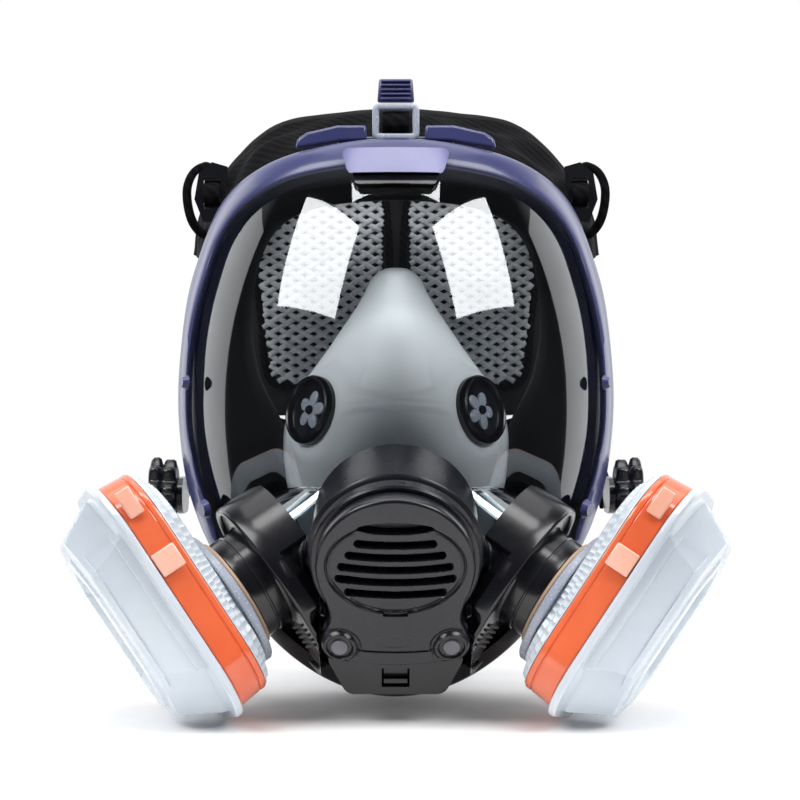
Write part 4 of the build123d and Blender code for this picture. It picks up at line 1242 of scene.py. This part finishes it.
def make_lower_adjuster(label, side):
    """Lobed adjuster of two layers, with a sunk round face."""
    axes = Axes((side * 97.0, *KNOB_PLACE), (0, 1, 0), (side, 0, 0))
    profile = ((10.0, 0.0, 0), (11.2, 0.5, 1.2), (11.6, 1.4, 1.5), (11.6, 4.6, 1.5), (11.2, 5.4, 1.2),
               (10.2, 5.9, 0.6), (10.4, 6.3, 0.6), (12.0, 7.0, 1.4), (12.5, 8.0, 1.6), (12.4, 10.2, 1.6),
               (11.6, 11.4, 1.2), (10.2, 11.9, 0.5), (8.2, 11.9, 0), (7.4, 11.3, 0), (6.8, 10.4, 0),
               (2.4, 10.3, 0), (0.2, 10.5, 0))
    turns = np.linspace(0, 2 * math.pi, 180, endpoint=False)
    rows = []
    for radius, height, lobe in profile:
        edge = radius + lobe * np.cos(turns * 8)
        rows.append([axes.at(r * math.cos(t), r * math.sin(t), height) for r, t in zip(edge, turns)])
    skin("strap_adjuster_" + label, rows, "lower_adjuster_" + label, "black_plastic",
         MATERIALS["graphite"], ends="caps", replaces=("lower_adjuster_" + label,), sharp=50)


def make_straps():
    """Webbing through the top buckle, at the upper side buckles and behind the lower adjusters."""
    top = strap("crown_strap", [(0, 44, 136.2), (0, 36, 131.4), (0, 27, 126.6), (0, 14, 124.4), (0, -10, 124),
                                (0, -32, 122.6), (0, -45, 120.8),
                                (0, -51.5, 119.4), (0, -54.6, 117.4), (0, -55.2, 115.2), (0, -54.6, 113.2),
                                (0, -51.0, 112.0), (0, -46.6, 113.0), (0, -38, 117.5)],
                11.6, 2.0, None, (1, 0, 0), ("top_strap",), "ribbed")
    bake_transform(top)
    for label, side in SIDES.items():
        upper = strap("upper_strap_" + label,
                      [(side * 88, 46, 106), (side * 86.5, 32, 103), (side * 85, 16, 99.5),
                       (side * 84.2, 8, 97), (side * 84, 3.4, 95), (side * 84, 0.4, 93), (side * 84, -0.2, 90.6),
                       (side * 84, 0.6, 88.2), (side * 84, 4.0, 86.3), (side * 84, 9, 85.4),
                       (side * 84.2, 16, 87), (side * 85, 26, 91)],
                      7.4, 1.7, None, (1, 0, 0), ("upper_straps",), "ribbed")
        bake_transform(upper)
        strap("upper_tail_" + label,
              [(side * 84.5, 25, 103.5), (side * 89, 22.5, 105.5), (side * 94, 21, 102.5), (side * 97, 20.5, 96),
               (side * 97, 20.5, 88), (side * 95, 21, 80), (side * 91.5, 23, 75), (side * 88.5, 26, 74)],
              9.5, 3.6, "facepiece", (0, 1, 0.15), ("upper_straps",), "ribbed")
        strap("lower_strap_" + label,
              [(side * 95.4, 1.5, -47), (side * 95.6, 12, -45), (side * 94, 26, -38), (side * 89, 38, -25),
               (side * 81, 45, -10), (side * 72, 47.6, 3), (side * 62, 48.4, 15), (side * 52, 48.6, 25)],
              13, 2.0, "facepiece", (0.3, 0, 1), ("lower_straps",), "ribbed")


# ---------------------------------------------------------------- camera, light and floor
def make_stage():
    """Plain pale floor, small enough to leave no horizon behind the object."""
    low = cad_bounds[0][2] - 0.0005
    mesh = bpy.data.meshes.new("floor")
    rim = [(0.34 * math.cos(t), 0.30 * math.sin(t), low) for t in np.linspace(0, 2 * math.pi, 96, endpoint=False)]
    mesh.from_pydata(rim, [], [tuple(range(96))])
    floor = bpy.data.objects.new("floor", mesh)
    bpy.context.scene.collection.objects.link(floor)
    mesh.materials.append(plastic("pale_floor", (0.90, 0.90, 0.90), (0.94, 0.94, 0.94), (0.8, 0.9)))


def area_light(name, place, aim, width, height, power, colour=(1, 1, 1)):
    lamp = bpy.data.lights.new(name, "AREA")
    lamp.shape = "RECTANGLE"
    lamp.size, lamp.size_y = width, height
    lamp.energy = power
    lamp.color = colour
    holder = bpy.data.objects.new(name, lamp)
    holder.location = place
    holder.rotation_euler = (Vector(aim) - Vector(place)).to_track_quat("-Z", "Y").to_euler()
    bpy.context.scene.collection.objects.link(holder)


def make_world():
    """Bright behind the object and dim in front of it, so that the lens stays clear."""
    world = bpy.data.worlds.new("studio")
    world.use_nodes = True
    nodes, links = world.node_tree.nodes, world.node_tree.links
    back = nodes["Background"]
    coords = nodes.new("ShaderNodeTexCoord")
    split = nodes.new("ShaderNodeSeparateXYZ")
    links.new(coords.outputs["Generated"], split.inputs["Vector"])
    links.new(ramp(nodes, links, split.outputs["Y"], (0.03, 0.03, 0.035), (0.90, 0.92, 0.95), 0.14, 0.60),
              back.inputs["Color"])
    plain_back = nodes.new("ShaderNodeBackground")
    plain_back.inputs["Color"].default_value = (1, 1, 1, 1)
    plain_back.inputs["Strength"].default_value = 1.0
    path = nodes.new("ShaderNodeLightPath")
    mix = nodes.new("ShaderNodeMixShader")
    links.new(path.outputs["Is Camera Ray"], mix.inputs["Fac"])
    links.new(back.outputs["Background"], mix.inputs[1])
    links.new(plain_back.outputs["Background"], mix.inputs[2])
    links.new(mix.outputs["Shader"], nodes["World Output"].inputs["Surface"])
    bpy.context.scene.world = world


def make_lights():
    bpy.context.scene.view_settings.view_transform = "Standard"
    make_world()
    for side in (-1, 1):
        area_light(f"key_{side}", (side * 0.82, -0.70, 0.76), (side * 0.03, -0.09, 0.05), 0.80, 0.62, 12)
        area_light(f"strip_{side}", (side * 1.0, 0.55, 0.15), (0, 0, 0), 0.9, 1.2, 4.5)
    area_light("top_front", (0, -0.55, 1.106), (0, -0.06, 0.08), 0.95, 0.30, 7)
    area_light("top", (0, 0.15, 1.4), (0, 0, 0), 1.6, 1.0, 9)


def make_camera():
    camera = bpy.data.cameras.new("camera")
    camera.lens = 90
    camera.sensor_width = 36
    camera.clip_start = 0.01
    holder = bpy.data.objects.new("camera", camera)
    holder.location = (0.0018, -0.910, -0.0035)
    holder.rotation_euler = (math.radians(90), 0, 0)
    bpy.context.scene.collection.objects.link(holder)
    bpy.context.scene.camera = holder


# ---------------------------------------------------------------- carried-over nodes
KEPT = {
    "black": ("chin_shell", "chin_bracket", "chin_latch", "lower_lug", "frame_top_catch",
              "exhalation_valve_seat", "speech_diaphragm", "centre_spigot", "upper_buckle"),
    "blue": ("frame_screws",),
    # The top flap wears the frame's violet, painted paler where the top light falls on it.
    "violet_painted_light": ("frame_top_flap",),
    "rubber": ("nose_valve_flap", "inhalation_flap", "exhalation_flap"),
    "tan": ("port_gasket",),
    "felt": ("prefilter",),
    "carbon": ("sorbent_bed",),
}


def dress_kept_nodes():
    for name, node in frame["nodes"].items():
        for finish, starts in KEPT.items():
            if name.startswith(starts):
                node.data.materials.clear()
                node.data.materials.append(MATERIALS[finish])
                for polygon in node.data.polygons:
                    polygon.material_index = 0


make_camera()
make_lens()
make_lens_sleeves()
make_frame()
make_chin_band()
make_face_seal()
make_nose_cup()
make_nose_valves()
make_housing()
make_cover()
for side_name, side_sign in SIDES.items():
    make_flange(side_name, side_sign)
    make_collar(side_name, side_sign)
    make_cartridge(side_name, side_sign)
    make_mesh_panel(side_name, side_sign)
    make_lower_adjuster(side_name, side_sign)
make_head_pad()
make_crown_band()
make_yoke()
make_top_buckle()
make_straps()
dress_kept_nodes()
make_stage()
make_lights()
